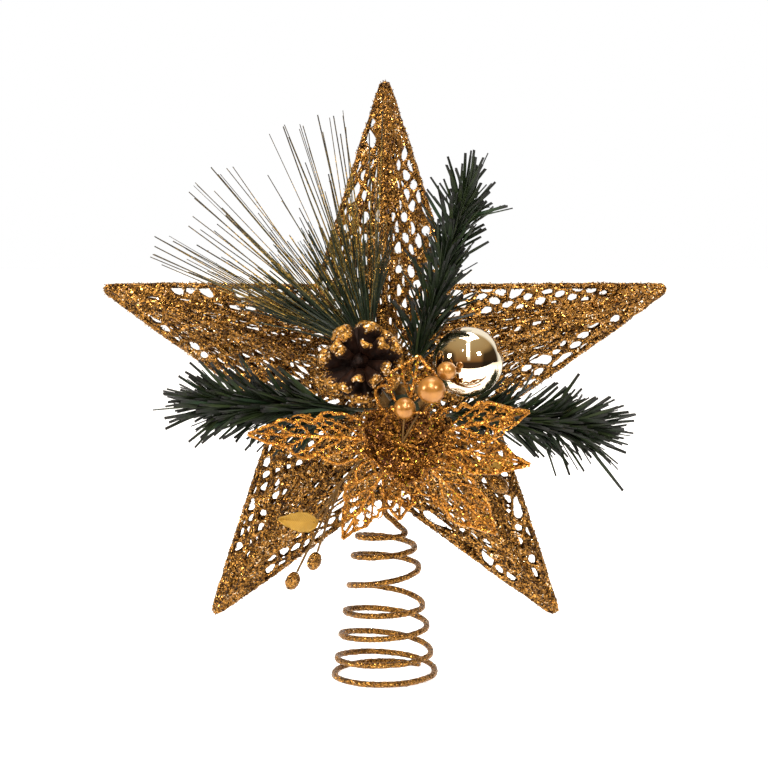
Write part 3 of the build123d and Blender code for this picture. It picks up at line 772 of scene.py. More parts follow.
COIL_TURNS = 6.75
EVEN_TURNS = 0.7
CUT_END_ANGLE = 45
STEPS_PER_TURN = 8
CUT_END_HEIGHT = 0.8 * MM
FLOOR_GAP = 0.05 * MM
# Rise at each half turn, as a share of the way to the highest turn
COIL_RISE = (0, 0, 0.024, 0.114, 0.158, 0.278, 0.343, 0.44, 0.483, 0.62, 0.749, 0.826, 0.886, 0.963, 1)
# Tail from the highest turn up to the lashing, in millimetres
COIL_TAIL = ((4.5, 2.7, 71.5), (0, 2.7, 76), (0, 2.7, 82), (0, 2.7, 89.4))


def coil_point(turn, sizes):
    """Middle of the coil's wire, so many turns from its cut end."""
    narrowing = max(0.0, turn - EVEN_TURNS) / (COIL_TURNS - EVEN_TURNS)
    radius = sizes.foot_radius + (sizes.head_radius - sizes.foot_radius) * narrowing
    angle = CUT_END_ANGLE + 360 * turn
    half = min(int(angle / 180), len(COIL_RISE) - 2)
    rise = COIL_RISE[half] + (COIL_RISE[half + 1] - COIL_RISE[half]) * (angle / 180 - half)
    return Vector((radius * cos(radians(angle)), radius * sin(radians(angle)),
                   CUT_END_HEIGHT + (sizes.head_height - CUT_END_HEIGHT) * rise))


class STAR_OT_coil(bpy.types.Operator):
    """Coil of glitter-coated wire that slips over the leader"""
    bl_idname = "tree_star.coil"
    bl_label = "Coil"

    def execute(self, context):
        sizes = context.scene.tree_star_coil
        flake = context.scene.tree_star_frame.flake
        steps = int(COIL_TURNS * STEPS_PER_TURN)
        line = [coil_point(step / STEPS_PER_TURN, sizes) for step in range(steps + 1)]
        line += [Vector(point) * MM for point in COIL_TAIL]
        coil = wire("coil", [even(line)], sizes.wire, kind="BEZIER", sides=3, steps=14)
        roughen(coil, strength=0.0005, grain=0.0016)
        coat(coil, coil_glitter())
        dust(coil, 5200, flake * 0.65, seed=5, sink=0.1)
        dust(coil, 130, flake * 0.42, seed=6, sink=0.8, stretch=12.0)
        points = points_of(coil)
        points[:, 2] = np.maximum(points[:, 2], FLOOR_GAP)
        move_points(coil, points)
        smooth(coil)
        fit(coil, "tree_mount", "glitter_wire", "spring_coil")
        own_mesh(coil)
        return {"FINISHED"}


# Lashing: turns, points of one turn, half its width and depth, its height and middle, in millimetres
LASHING_TURNS = 8
LASHING_STEPS = 12
LASHING_HALF = (4.0, 4.05)
LASHING_HEIGHT = 6.8
LASHING_MIDDLE = 1.35
LASHING_WIRE = 0.00052


class STAR_OT_lashing(bpy.types.Operator):
    """Wire wound round the coil's tail and the lowest crotch"""
    bl_idname = "tree_star.lashing"
    bl_label = "Lashing"

    def execute(self, context):
        half_width, half_depth = LASHING_HALF
        count = LASHING_TURNS * LASHING_STEPS
        line = []
        for step in range(count + 1):
            angle = 2 * pi * step / LASHING_STEPS
            sway = 0.25 * sin(angle * 0.37 + 1)
            across = half_width * cos(angle) + sway * 0.3
            back = LASHING_MIDDLE + half_depth * sin(angle)
            rise = CROTCH_Z / MM + LASHING_HEIGHT * (step / count - 0.5) + sway
            line.append(Vector((across, back, rise)) * MM)
        lashing = wire("lashing", [even(line)], LASHING_WIRE, kind="BEZIER", sides=2, steps=3)
        coat(lashing, coil_glitter())
        dust(lashing, 500, 0.0005, seed=8, sink=0.1)
        smooth(lashing)
        fit(lashing, "coil_head", "glitter_wire", "frame_lashing")
        return {"FINISHED"}


# Star frame and netting

SIDES = (("front", -1), ("back", 1))
TIP_BEND = 2.1 * MM
CROTCH_BEND = 3.0 * MM
# A ridge wire's end: short of the corner, and off the middle plane
RIDGE_END_SHORT = 9 * MM
RIDGE_END_DEPTH = 2.05 * MM
# The net stands off its wires, and ends short of the corner
NET_STAND = 1.7 * MM
NET_TIP_DEPTH = 1 * MM
NET_TIP_SHORT = 5.5 * MM
NET_CELLS = 34
NET_LOOSE = 0.05
NET_FLATTENED = 0.75
GLUE_FILM = 0.6 * MM
THREADS = 8
THREAD_RADIUS = 0.6 * MM


def arm_angle(arm):
    """Angle of an arm, counted from the top one to the left."""
    return 90 + ARM_STEP * arm


def rounded_corner(corner, before, after, bend):
    """Three points that turn a wire round a corner at a bend radius."""
    to_before = (before - corner).normalized()
    to_after = (after - corner).normalized()
    half = to_before.angle(to_after) / 2
    reach = 4 * bend * (1 / sin(half) - 1) / cos(half)
    return [corner + to_before * reach, corner, corner + to_after * reach]


class STAR_OT_frame_wires(bpy.types.Operator):
    """Outline and ridge wires with the net rolled over them"""
    bl_idname = "tree_star.frame_wires"
    bl_label = "Frame Wires"

    def execute(self, context):
        sizes = context.scene.tree_star_frame
        corners = []
        for arm in range(len(ARMS)):
            corners.append(star_point(sizes.corner_radius, arm_angle(arm)))
            corners.append(star_point(sizes.inner_radius, arm_angle(arm) + ARM_STEP / 2))
        turns = []
        for index, corner in enumerate(corners):
            before, after = corners[index - 1], corners[(index + 1) % len(corners)]
            turns.append(rounded_corner(corner, before, after, CROTCH_BEND if index % 2 else TIP_BEND))
        line = []
        for index, turn in enumerate(turns):
            following = turns[(index + 1) % len(turns)]
            line += [(point, 1.0 if index % 2 else 0.6) for point in turn]
            line += [(turn[2].lerp(following[0], share / 8), 1.0) for share in range(1, 8)]
        outline = wire("outline", [line], sizes.edge_roll, cyclic=True, sides=3, steps=6)
        roughen(outline, strength=0.0012, grain=0.0016)
        coat(outline, star_glitter())
        dust(outline, 6000, sizes.flake, seed=11, sink=0.1)
        dust(outline, 3000, sizes.flake * 0.7, seed=17, sink=0.6, stretch=5.0)
        smooth(outline)
        fit(outline, "star", "glitter_wire", "star_outline_wire")
        for side_name, side in SIDES:
            hub = star_point(0, 0, side * sizes.half_depth)
            reach = sizes.corner_radius - RIDGE_END_SHORT
            lines = []
            for arm in range(len(ARMS)):
                tip = star_point(reach, arm_angle(arm), side * RIDGE_END_DEPTH)
                lines.append(even(hub.lerp(tip, share / 13) for share in range(14)))
            ridges = wire(side_name + "_ridges", lines, sizes.ridge_roll, sides=3, steps=6)
            roughen(ridges, strength=0.0009, grain=0.002)
            coat(ridges, star_glitter())
            dust(ridges, 3000, sizes.flake, seed=12 + side, sink=0.15)
            dust(ridges, 700, sizes.flake * 0.45, seed=18 + side, sink=0.4, stretch=9.0)
            smooth(ridges)
            fit(ridges, "star", "glitter_wire", side_name + "_ridge_wires")
        return {"FINISHED"}


def net_sheet(size_along, size_across, cuts, sizes, seed):
    """A flat sheet of uneven diamonds, its long way along x, cut off past some lines (point, outwards)."""
    sheet = grid("sheet", NET_CELLS, NET_CELLS, 1)
    spread = NET_CELLS / sqrt(2)
    with editing(sheet):
        bpy.ops.transform.rotate(value=pi / 4, orient_axis="Z", center_override=(0, 0, 0))
        bpy.ops.transform.resize(value=(sizes.net_pitch * spread, 2 * sizes.net_row * spread, 1),
                                 center_override=(0, 0, 0))
        bpy.ops.transform.translate(value=(size_along / 2, size_across / 2, 0))
        bpy.ops.transform.vertex_random(offset=sizes.unevenness, seed=seed)
        for point, outside in cuts:
            bpy.ops.mesh.select_all(action="SELECT")
            bpy.ops.mesh.bisect(plane_co=point, plane_no=outside, clear_outer=True)
    return sheet


def filled_meshes(sheet, share, seed, thickness):
    """Film across some meshes of a sheet, as a list of one piece, or of none where no mesh is filled."""
    rng = np.random.default_rng(seed)
    dropped = [rng.random() > share(face.center) for face in sheet.data.polygons]
    if all(dropped):
        return []
    patch = doubled(sheet)
    with picked(patch, "FACE", dropped):
        bpy.ops.mesh.delete(type="FACE")
    return [modify(patch, "SOLIDIFY", thickness=thickness, offset=0)]


def net_panel(hub, tip, valley, sizes, seed):
    """One panel of netting: uneven knotted strands, long threads, and film left in some meshes."""
    rng = np.random.default_rng(seed)
    ridge = (tip - hub).normalized()
    along = (valley - hub).dot(ridge)
    across = valley - hub - ridge * along
    size_along, size_across = (tip - hub).length, across.length
    cuts = [((0, 0, 0), (0, -1, 0)),
            ((0, 0, 0), Vector((-size_across, along, 0)).normalized()),
            ((size_along, 0, 0), Vector((size_across, size_along - along, 0)).normalized()),
            ((size_along - NET_TIP_SHORT, 0, 0), (1, 0, 0))]
    sheet = net_sheet(size_along, size_across, cuts, sizes, seed)
    with picked(sheet, "EDGE", [rng.random() < NET_LOOSE for _ in sheet.data.edges]):
        bpy.ops.mesh.dissolve_edges(use_verts=False)

    def closed(centre):
        """Share of the meshes that are filled: more by the hub and most by the tip."""
        near_hub = max(0.0, 1 - centre.x / 0.05)
        near_tip = max(0.0, (centre.x - size_along * 0.66) / (size_along * 0.26))
        return 0.10 + 0.2 * near_hub + 0.9 * near_tip

    patches = filled_meshes(sheet, closed, seed + 500, GLUE_FILM)
    widths = sheet.vertex_groups.new(name="strand")
    for index in range(len(sheet.data.vertices)):
        widths.add([index], rng.uniform(0.25, 1.0), "REPLACE")
    modify(sheet, "WIREFRAME", thickness=sizes.strand, offset=0.0, use_even_offset=False,
           use_boundary=True, use_replace=True, vertex_group="strand")
    rounded(sheet)
    lines = []
    for _ in range(THREADS):
        begin = Vector((rng.uniform(0.02, 0.3) * along, 0, 0))
        begin += Vector((along, size_across, 0)) * rng.uniform(0.1, 0.8)
        end = Vector((size_along * rng.uniform(0.75, 0.92), 0.0015, 0))
        lines.append([(begin.lerp(end, step / 9) + Vector((0, rng.normal(0, 0.0006), 0)),
                       rng.uniform(0.6, 1.2)) for step in range(10)])
    threads = wire("threads", lines, THREAD_RADIUS, sides=1, steps=3)
    panel = joined("panel", [sheet, threads] + patches)
    points = points_of(panel)
    points[:, 2] *= NET_FLATTENED
    move_points(panel, points)
    return placed(panel, ridge, across.normalized(), ridge.cross(across.normalized()), hub)


class STAR_OT_netting(bpy.types.Operator):
    """Ten arms of glittered netting, five in front and five behind"""
    bl_idname = "tree_star.netting"
    bl_label = "Netting"

    def execute(self, context):
        sizes = context.scene.tree_star_frame
        for side_name, side in SIDES:
            hub = star_point(0, 0, side * (sizes.half_depth + NET_STAND))
            for arm, arm_name in enumerate(ARMS):
                tip = star_point(sizes.corner_radius, arm_angle(arm), side * NET_TIP_DEPTH)
                panels = []
                for hand in (-1, 1):
                    angle = arm_angle(arm) + hand * ARM_STEP / 2
                    valley = star_point(sizes.inner_radius, angle, side * NET_STAND)
                    panels.append(net_panel(hub, tip, valley, sizes, 40 + arm * 4 + (hand > 0)))
                net = joined(f"{side_name}_net_{arm_name}_glitter", panels)
                roughen(net, strength=0.0019, grain=0.0014)
                coat(net, star_glitter())
                dust(net, 3000, sizes.flake, seed=300 + arm + 10 * side, sink=0.2)
                dust(net, 3000, sizes.flake * 0.65, seed=600 + arm + 10 * side, sink=0.5, stretch=5.5)
                smooth(net)
                fit(net, "star", "glitter_net", f"{side_name}_net_{arm_name}")
        return {"FINISHED"}


# Pine branches and the long spray

# Root on the core (angle, forward), tip, length and crowding of the needles, and stray needles as
# (share along the stem, direction, length)
BRANCHES = {
    "upper_branch": ((80, 8.5), (27, 17, 96), 0.84, 0.72,
                     [(0.97, (0.15, 0.1, 1.0), 1.15)]),
    "left_branch": ((178, 8.0), (-84, 14, 4), 1.0, 1.1,
                    [(0.93, (-1.0, 0.0, -0.02), 1.4), (0.8, (-0.85, -0.1, 0.55), 1.2)]),
    "right_branch": ((-4, 6.0), (82, 10, -7), 0.9, 1.05,
                     [(0.9, (0.62, -0.05, -0.78), 1.5), (0.7, (0.5, -0.1, 0.8), 1.2)]),
}
SPRAY_DIRECTION = (-0.62, -0.06, 0.78)
BARE_FOOT = 13 * MM
BARE_TIP = 2.5 * MM
STEM_RADIUS = 0.9 * MM
FILM_THICKNESS = 0.4 * MM
# Radii that the needles keep out of, and where the middle of the cone lies from its base
CONE_BASE_TO_MIDDLE = (-0.8, -8.0, 1.0)
CONE_ROOM = 20.5 * MM
BALL_ROOM = 16.4 * MM
LEAF_ROOM = 7.6 * MM
BRANCH_ROOM = 22 * MM


def needle_model():
    """One needle: a flat strip one unit long, narrow at its foot, cut square at its end."""
    start()
    bpy.ops.mesh.primitive_cube_add(size=1, location=(0, 0, 0.5))
    model = called("needle")
    bpy.ops.object.transform_apply(location=True)
    with editing(model):
        for height in (0.3, 0.65):
            bpy.ops.mesh.select_all(action="SELECT")
            bpy.ops.mesh.bisect(plane_co=(0, 0, height), plane_no=(0, 0, 1))
    points = points_of(model)
    points[:, 0] *= np.interp(points[:, 2], [0, 0.3, 0.65, 1], [0.45, 0.95, 1.0, 0.8])
    return move_points(model, points)


def open_room(places, directions, reach, body, neighbours):
    """Which needles stay out of the firm neighbours at rest and at both limits of their joint."""
    marks = places[:, None] + directions[:, None] * (reach[:, None] * np.array([0.3, 0.65, 1.0]))[:, :, None]
    clear = np.ones(len(places), dtype=bool)
    for moved in (marks, carried(marks, body, 0), carried(marks, body, 1)):
        for centre, radius in neighbours:
            clear &= (np.linalg.norm(moved - np.array(centre), axis=2) > radius).all(axis=1)
    return clear


class STAR_OT_branches(bpy.types.Operator):
    """Three branches of cut film needles"""
    bl_idname = "tree_star.branches"
    bl_label = "Pine Branches"

    def execute(self, context):
        pine = context.scene.tree_star_pine
        shades = context.scene.tree_star_colours
        green = film("pine_film", shades.needle, shades.needle_tip)
        cone = pick_point(*CONE) + Vector(CONE_BASE_TO_MIDDLE) * MM
        leaf = np.array(pick_point(*RIGHT_LEAF_MIDDLE))
        neighbours = [(cone, CONE_ROOM), (pick_point(*BALL), BALL_ROOM), (leaf, LEAF_ROOM)]
        neighbours += [(carried(leaf, "right_leaf_spray", limit), LEAF_ROOM) for limit in (0, 1)]
        for seed, (name, (root_at, tip_at, full, crowd, strays)) in enumerate(BRANCHES.items(), 70):
            rng = np.random.default_rng(seed)
            root, tip = pick_root(*root_at), pick_point(*tip_at)
            stem = tip - root
            axis, sideways, deep = cross_axes(stem.normalized())
            count = int(pine.needles * crowd)
            share = np.linspace(0.0, 1.0, count)
            azimuth = np.radians(np.arange(count) * GOLDEN_ANGLE) + rng.normal(0, 0.3, count)
            # Needles lie closer to the stem before and behind it, and close up round its tip
            flatness = np.abs(np.sin(azimuth))
            tilt = np.radians(42 - 20 * flatness + rng.normal(0, 12, count))
            tilt *= np.where(share > 0.9, 1 - (share - 0.9) * 7, 1)
            outward = sideways * np.cos(azimuth)[:, None] + deep * np.sin(azimuth)[:, None]
            at = BARE_FOOT + (stem.length - BARE_FOOT - BARE_TIP) * share
            place = np.array(root) + axis * at[:, None] + outward * STEM_RADIUS
            direction = axis * np.cos(tilt)[:, None] + outward * np.sin(tilt)[:, None]
            longer = np.ones(count)
            for share_along, aim, longer_by in strays:
                index = int(share_along * (count - 1))
                direction[index] = aim
                longer[index] = longer_by
            direction = unit(direction)
            reach = full * longer * pine.needle_length * rng.uniform(0.5, 1.0, count)
            width = pine.needle_width * rng.uniform(0.6, 1.1, count)
            spin, bend, shade = rng.uniform(0, 2 * pi, count), rng.normal(0, 0.0022, count), rng.random(count)
            for _ in range(2):
                reach = np.where(open_room(place, direction, reach, name, neighbours), reach, reach * 0.6)
            kept = open_room(place, direction, reach, name, neighbours)
            size = np.stack([width, np.full(count, FILM_THICKNESS), reach], axis=1)
            needles = lay_copies(name + "_film", needle_model(), frames_on(direction[kept], spin[kept]),
                                 place[kept], size[kept], bend[kept], along=(2, 1.0), shade=shade[kept])
            coat(needles, green)
            fit(needles, name, "green_needles", name + "_needles")
        return {"FINISHED"}


class STAR_OT_needle_spray(bpy.types.Operator):
    """Long fan of fine needles with olive gold on them"""
    bl_idname = "tree_star.needle_spray"
    bl_label = "Needle Spray"

    def execute(self, context):
        pine = context.scene.tree_star_pine
        shades = context.scene.tree_star_colours
        rng = np.random.default_rng(91)
        knot = np.array(pick_point(*SPRAY_KNOT))
        axis, sideways, deep = cross_axes(SPRAY_DIRECTION)
        count = pine.strands + pine.tufts
        tuft = np.arange(count) >= pine.strands
        # Long needles fan out in two clumps with loose ones between, short green ones around the knot
        clump = rng.random(count)
        fan = np.where(clump < 0.42, rng.normal(-26, 6, count), rng.normal(28, 10, count))
        fan = np.where(clump > 0.7, rng.uniform(-20, 18, count), fan)
        short = np.where(clump < 0.3, rng.normal(-20, 7, count), rng.normal(12, 26, count))
        fan = np.radians(np.clip(np.where(tuft, short, fan), -38, 42))
        lift = np.radians(rng.uniform(-7, 7, count))
        direction = unit(axis + sideways * np.tan(fan)[:, None] + deep * np.tan(lift)[:, None])
        place = knot - axis * 0.006 + direction * 0.0075
        spin = rng.uniform(0, 2 * pi, count)
        reach = np.where(tuft, rng.uniform(0.28, 0.58, count), 1 - 0.42 * rng.random(count) ** 1.6)
        reach = pine.strand_length * reach
        width = pine.strand_width * np.where(tuft, rng.uniform(0.5, 1.2, count), rng.uniform(0.6, 1.0, count))
        size = np.stack([width, width * 0.6, reach], axis=1)
        shade = np.where(tuft, rng.random(count) ** 2.4, 0.25 + 0.75 * rng.random(count))
        bend = np.clip(rng.normal(0, 1, count), -1, 1) * np.where(tuft, 0.006, 0.004)
        root_at, tip_at = BRANCHES["left_branch"][:2]
        root, tip = pick_root(*root_at), pick_point(*tip_at)
        swung_branch = [(carried(np.array(root + (tip - root) * share / 8), "left_branch", 1), BRANCH_ROOM)
                        for share in range(2, 9)]
        kept = open_room(place, direction, reach, "needle_spray", swung_branch)
        lengths = np.where(tuft, 0.3, 1.0)
        spray = lay_copies("spray_film", needle_model(), frames_on(direction[kept], spin[kept]), place[kept],
                           size[kept], bend[kept], along=(2, lengths[kept]), shade=shade[kept])
        coat(spray, spray_film("spray_film", shades.needle, shades.spray, shades.needle_tip))
        # The first and last colours are the spray glitter's painted shade and painted glint
        gold = glitter("spray_glitter", (0.05, 0.03, 0.004), shades.spray, (0.9, 0.75, 0.3), grain=0.0006)
        spray = joined("spray_film", [spray, dust_on_spray(spray, gold, knot)])
        fit(spray, "needle_spray", "spray_needles", "spray_needles")
        return {"FINISHED"}


def dust_on_spray(spray, gold, knot):
    """Glitter flecks on the middle of the spray's needles, as a piece of their own."""
    copy = coat(doubled(spray), gold)

    def middle(places):
        """Which places lie neither by the knot nor by the ends."""
        reach = np.linalg.norm(places - knot, axis=1)
        return (reach > 0.022) & (reach < 0.075)

    needle_points = len(copy.data.vertices)
    flecks = dust(copy, 1500, 0.0008, seed=93, sink=0.1, keep=middle)
    with picked(flecks, "VERT", np.arange(len(flecks.data.vertices)) < needle_points):
        bpy.ops.mesh.delete(type="VERT")
    return flecks


# Pine cone

# Rings of scales: angles round the cone, height, opening angle, length and width, in degrees and millimetres
CONE_RINGS = (
    (range(10, 370, 40), 1.5, 82.0, 15.5, 11.5),
    (range(30, 390, 51), 4.5, 62.0, 16.5, 10.5),
    ((88, 100, 355, 205, 268, 312), 9.0, 42.0, 14.5, 8.0),
    ((232, 120, 20), 12.0, 22.0, 11.0, 6.5),
)
CONE_DIRECTION = (-0.10, -1.0, 0.12)
CONE_CORE_HEIGHT = 17 * MM
CONE_CORE_FOOT = 6.2 * MM
CONE_CORE_TOP = 1.8 * MM
SCALE_ROOT = 3.2 * MM


def cone_scale_model():
    """One cone scale: a narrow foot that widens into a cupped plate with a thick rounded end."""
    model = grid("scale", 9, 6, 1)
    flat = points_of(model)
    along, t = flat[:, 0] + 0.5, flat[:, 1] * 2
    cross = 0.5 * np.interp(along, [0, 0.35, 0.65, 0.85, 1.0], [0.40, 0.60, 0.92, 1.0, 0.66])
    flat = np.stack([along * (1 - 0.09 * t**2), t * cross, -0.10 * along**2 - 0.16 * t**2 * along], axis=1)
    move_points(model, flat)
    modify(model, "SOLIDIFY", thickness=0.08, offset=0)
    points = points_of(model)
    count = len(flat)
    thick = np.interp(flat[:, 0], [0, 0.6, 0.8, 0.92, 1.0], [0.9, 1.0, 2.8, 3.6, 2.0]) * (1 - 0.4 * t**2)
    for half in (points[:count], points[count:]):
        half[:, 2] = flat[:, 2] + (half[:, 2] - flat[:, 2]) * thick
    move_points(model, points)
    return rounded(model)


class STAR_OT_pine_cone(bpy.types.Operator):
    """Open pine cone with gilded scale ends"""
    bl_idname = "tree_star.pine_cone"
    bl_label = "Pine Cone"

    def execute(self, context):
        shades = context.scene.tree_star_colours
        rng = np.random.default_rng(120)
        base = np.array(pick_point(*CONE))
        axis, sideways, deep = cross_axes(CONE_DIRECTION)
        turns, feet, size = [], [], []
        for angles, height, opening, reach, width in CONE_RINGS:
            for angle in angles:
                around = radians(angle + rng.normal(0, 4))
                tilt = radians(opening + rng.normal(0, 5))
                outward = sideways * cos(around) + deep * sin(around)
                blade = outward * sin(tilt) + axis * cos(tilt)
                across = np.cross(axis, outward)
                turns.append(np.stack([blade, across, np.cross(blade, across)], axis=1))
                feet.append(base + axis * height * MM + outward * SCALE_ROOT)
                size.append(np.array([reach, width, reach]) * rng.uniform(0.92, 1.04) * MM)
        scales = lay_copies("scales", cone_scale_model(), np.array(turns), np.array(feet), np.array(size),
                            along=(0, 1.0), shade=rng.random(len(feet)))
        start()
        bpy.ops.mesh.primitive_cone_add(vertices=20, radius1=CONE_CORE_FOOT, radius2=CONE_CORE_TOP,
                                        depth=CONE_CORE_HEIGHT)
        core = bevelled(called("core"), width=0.0008, steps=2)
        stood(core, Vector(axis), Vector(base + axis * CONE_CORE_HEIGHT / 2))
        cone = joined("cone", [scales, core])
        roughen(cone, strength=0.0009, grain=0.0022)
        coat(cone, cone_wood("cone_wood", shades.cone, shades.glitter, shades.glitter_painted_glint))
        smooth(cone)
        fit(cone, "star", "cone_wood", "pine_cone")
        return {"FINISHED"}


# Ball

# Root of the ball's wire on the core (angle, forward, reach), and its neck
BALL_ROOT = (38, 8.0, 7.3)
NECK_RADIUS = 3.2 * MM
NECK_LENGTH = 3.0 * MM


class STAR_OT_ball(bpy.types.Operator):
    """Mirror ball with its neck"""
    bl_idname = "tree_star.ball"
    bl_label = "Ball"

    def execute(self, context):
        radius = context.scene.tree_star_trim.ball_radius
        centre = pick_point(*BALL)
        ball = sphere("ball_mirror", radius, 72, 40)
        neck_from = sqrt(radius**2 - NECK_RADIUS**2)
        with picked(ball, "FACE", [face.center.z > neck_from for face in ball.data.polygons]):
            bpy.ops.mesh.extrude_region_move(TRANSFORM_OT_translate={"value": (0, 0, NECK_LENGTH)})
        stood(ball, (pick_root(*BALL_ROOT) - centre).normalized(), centre)
        coat(ball, mirror("ball_mirror", context.scene.tree_star_colours.ball))
        smooth(ball)
        fit(ball, "ball", "mirror_gold", "ball_shell")
        return {"FINISHED"}


# Flower and berries

# Angle, length, width, layer, forward lean (millimetres and degrees) and how much tissue the lace keeps
PETALS = {
    "upper": (79, 32, 31, 4.2, 2, 0.25),
    "right": (13, 50, 21, 2.2, 0, 0.75),
    "lower_right": (-45, 52, 23, 2.2, -6, 0.6),
    "lower_left": (-121, 44, 22, 2.2, -6, 0.5),
    "left": (177, 60, 22, 2.2, 0, 0.15),
    "side": (-11, 50, 19, -1.0, -2, 0.9),
    "bottom": (-92, 29, 19, -1.0, -4, 0.3),
}
FORWARD = Vector((0, -1, 0))
PETAL_FOOT = 1.8 * MM
PETAL_ROOT = 5.3 * MM
PETAL_CLEAR = 0.6 * MM
TISSUE_FILM = 0.5 * MM
HUB_RADIUS = 4.9 * MM
HUB_DEPTH = 11.8 * MM
FRILLS = 11
FRILL_ROOT = 3 * MM
FRILL_LAYER = 4.5 * MM
CURLS = 5
CURL_RADIUS = 0.6 * MM
BERRY_WIRES_FORWARD = 6.6 * MM
# Middle and radius of each berry, in millimetres
BERRIES = (((11, 47.5, 13), 5.8), ((0, 44.5, 5), 4.6), ((17.5, 42.5, 20.5), 4.0))


def petal_half_width(share, width):
    """Half the petal's width at a share of its length, both arrays or numbers."""
    bow = (width / 2 - PETAL_FOOT * 0.55) / 0.2196
    return np.maximum(PETAL_FOOT * (1 - share) + bow * share * (1 - share) ** 1.2, 0.0002)


def petal_lift(share, t, seed):
    """How far a petal's surface rises from its flat plane: a trough and a few ruffles."""
    ruffle = np.sin(share * 9 + seed) * 0.0011 * np.abs(t) + np.sin(share * 17 + 2 * seed) * 0.0005 * t
    return 0.0016 * t**2 + ruffle - 0.0012 * np.sin(share * pi)


def petal_tissue(name, long, width, seed, scraps):
    """Scraps of tissue between a petal's veins, as a list of one piece or none."""
    tissue = grid(name + "_tissue", 30, 16, 2)
    with editing(tissue):
        bpy.ops.transform.vertex_random(offset=0.035, seed=seed)
    points = points_of(tissue)
    share, t = np.clip((points[:, 0] + 1) / 2, 0.0, 0.99), np.clip(points[:, 1], -0.92, 0.92)
    aside, lift = t * petal_half_width(share, width), petal_lift(share, t, seed)
    move_points(tissue, np.stack([share * long, aside, lift], axis=1))

    def kept(centre):
        """Share of the tissue that is left: most at the root, then scraps in waves."""
        away = centre.x / long
        wave = 0.5 + 0.5 * sin(centre.x * 900 + seed) * sin(centre.y * 1100 + centre.x * 400 + 2 * seed)
        near = 1.6 * max(0.0, 0.3 - away)
        end = scraps * min(1.0, max(0.0, (away - (0.45 if scraps < 1 else 0.1)) / 0.2))
        return near + (1.0 if wave > 0.95 - 0.55 * end else 0.03)

    patches = filled_meshes(tissue, kept, seed + 9, TISSUE_FILM)
    removed(tissue)
    return patches


def lace_petal(name, long, width, seed, trim, scraps, glow=0.0):
    """A petal in its own plane: ragged rim, midrib, feathered side veins and scraps of tissue."""
    rng = np.random.default_rng(seed)

    def at(share, t):
        """Place at a share of the length, t from edge to edge."""
        half = float(petal_half_width(share, width))
        return Vector((share * long, t * half, float(petal_lift(share, t, seed))))

    def laid(x, y):
        """Place over a point of the flat petal, held inside its edge."""
        share = min(max(x / long, 0.0), 0.985)
        half = float(petal_half_width(share, width))
        return at(share, min(max(y / half, -0.97), 0.97))

    # Rim with three tears on each side, and midrib
    lines = []
    for hand in (-1, 1):
        rim = []
        tears = rng.uniform(0.35, 0.92, 3)
        for step in range(29):
            share = step / 28
            torn = 0.32 * np.exp(-((share - tears) / 0.04) ** 2).sum()
            ragged = 1.0 if step in (0, 28) else rng.uniform(0.90, 1.04) - min(torn, 0.4)
            rim.append((at(share, hand * ragged), rng.uniform(0.5, 1.0)))
        lines.append(rim)
    lines.append([(at(step / 12, 0.0), 1.25 - 0.7 * step / 12) for step in range(13)])
    strong = wire(name + "_rim", lines, trim.petal_rim / 2, sides=1, steps=3)
    # Pairs of side veins with barbs on both sides
    lines = []
    pairs = max(3, round(long / 0.0092))
    for pair in range(pairs):
        for hand in (-1, 1):
            root = long * (pair + 0.25 + 0.25 * (hand > 0)) / (pairs + 0.7)
            lean = radians(40 + rng.normal(0, 6))
            reach = 1.1 * float(petal_half_width(min(0.95, root / long + 0.12), width)) / sin(lean)
            spine = []
            for step in range(7):
                gone, turned = reach * step / 6, lean * (1 - 0.25 * step / 6)
                spine.append((root + gone * cos(turned), hand * gone * sin(turned)))
            lines.append([(laid(x, y), 1.0 - 0.08 * step) for step, (x, y) in enumerate(spine)])
            for x, y in spine[1:]:
                for side in (-1, 1):
                    barb = rng.uniform(0.0012, 0.0028)
                    aim = hand * lean + side * radians(rng.uniform(30, 55))
                    away, aside = barb * cos(aim), barb * sin(aim)
                    lines.append([(laid(x + away * part, y + aside * part), 0.6 - 0.3 * part)
                                  for part in (0.0, 0.5, 1.0)])
    fine = wire(name + "_veins", lines, trim.petal_vein / 2, sides=1, steps=2)
    patches = petal_tissue(name, long, width, seed, scraps)
    # Painted glint: rim and veins get higher spark values than the tissue, so they are coloured brighter;
    # glow shifts the painted glint of the whole petal
    note(strong, "spark", 0.4 + glow)
    note(fine, "spark", 0.35 + glow)
    for patch in patches:
        note(patch, "spark", -0.05 + glow)
    return joined(name, [strong, fine] + patches)


def set_in_flower(petal, angle, lean, root, layer, clear=0.0):
    """Stands a petal on the flower, its root so far out and forward, its face lifted clear."""
    outward = outward_at(angle)
    rise = outward * cos(radians(lean)) + FORWARD * sin(radians(lean))
    normal = outward.cross(FORWARD).cross(rise)
    foot = pick_point(*FLOWER) + outward * root + FORWARD * layer
    return placed(petal, rise, normal.cross(rise), normal, foot + normal * clear)


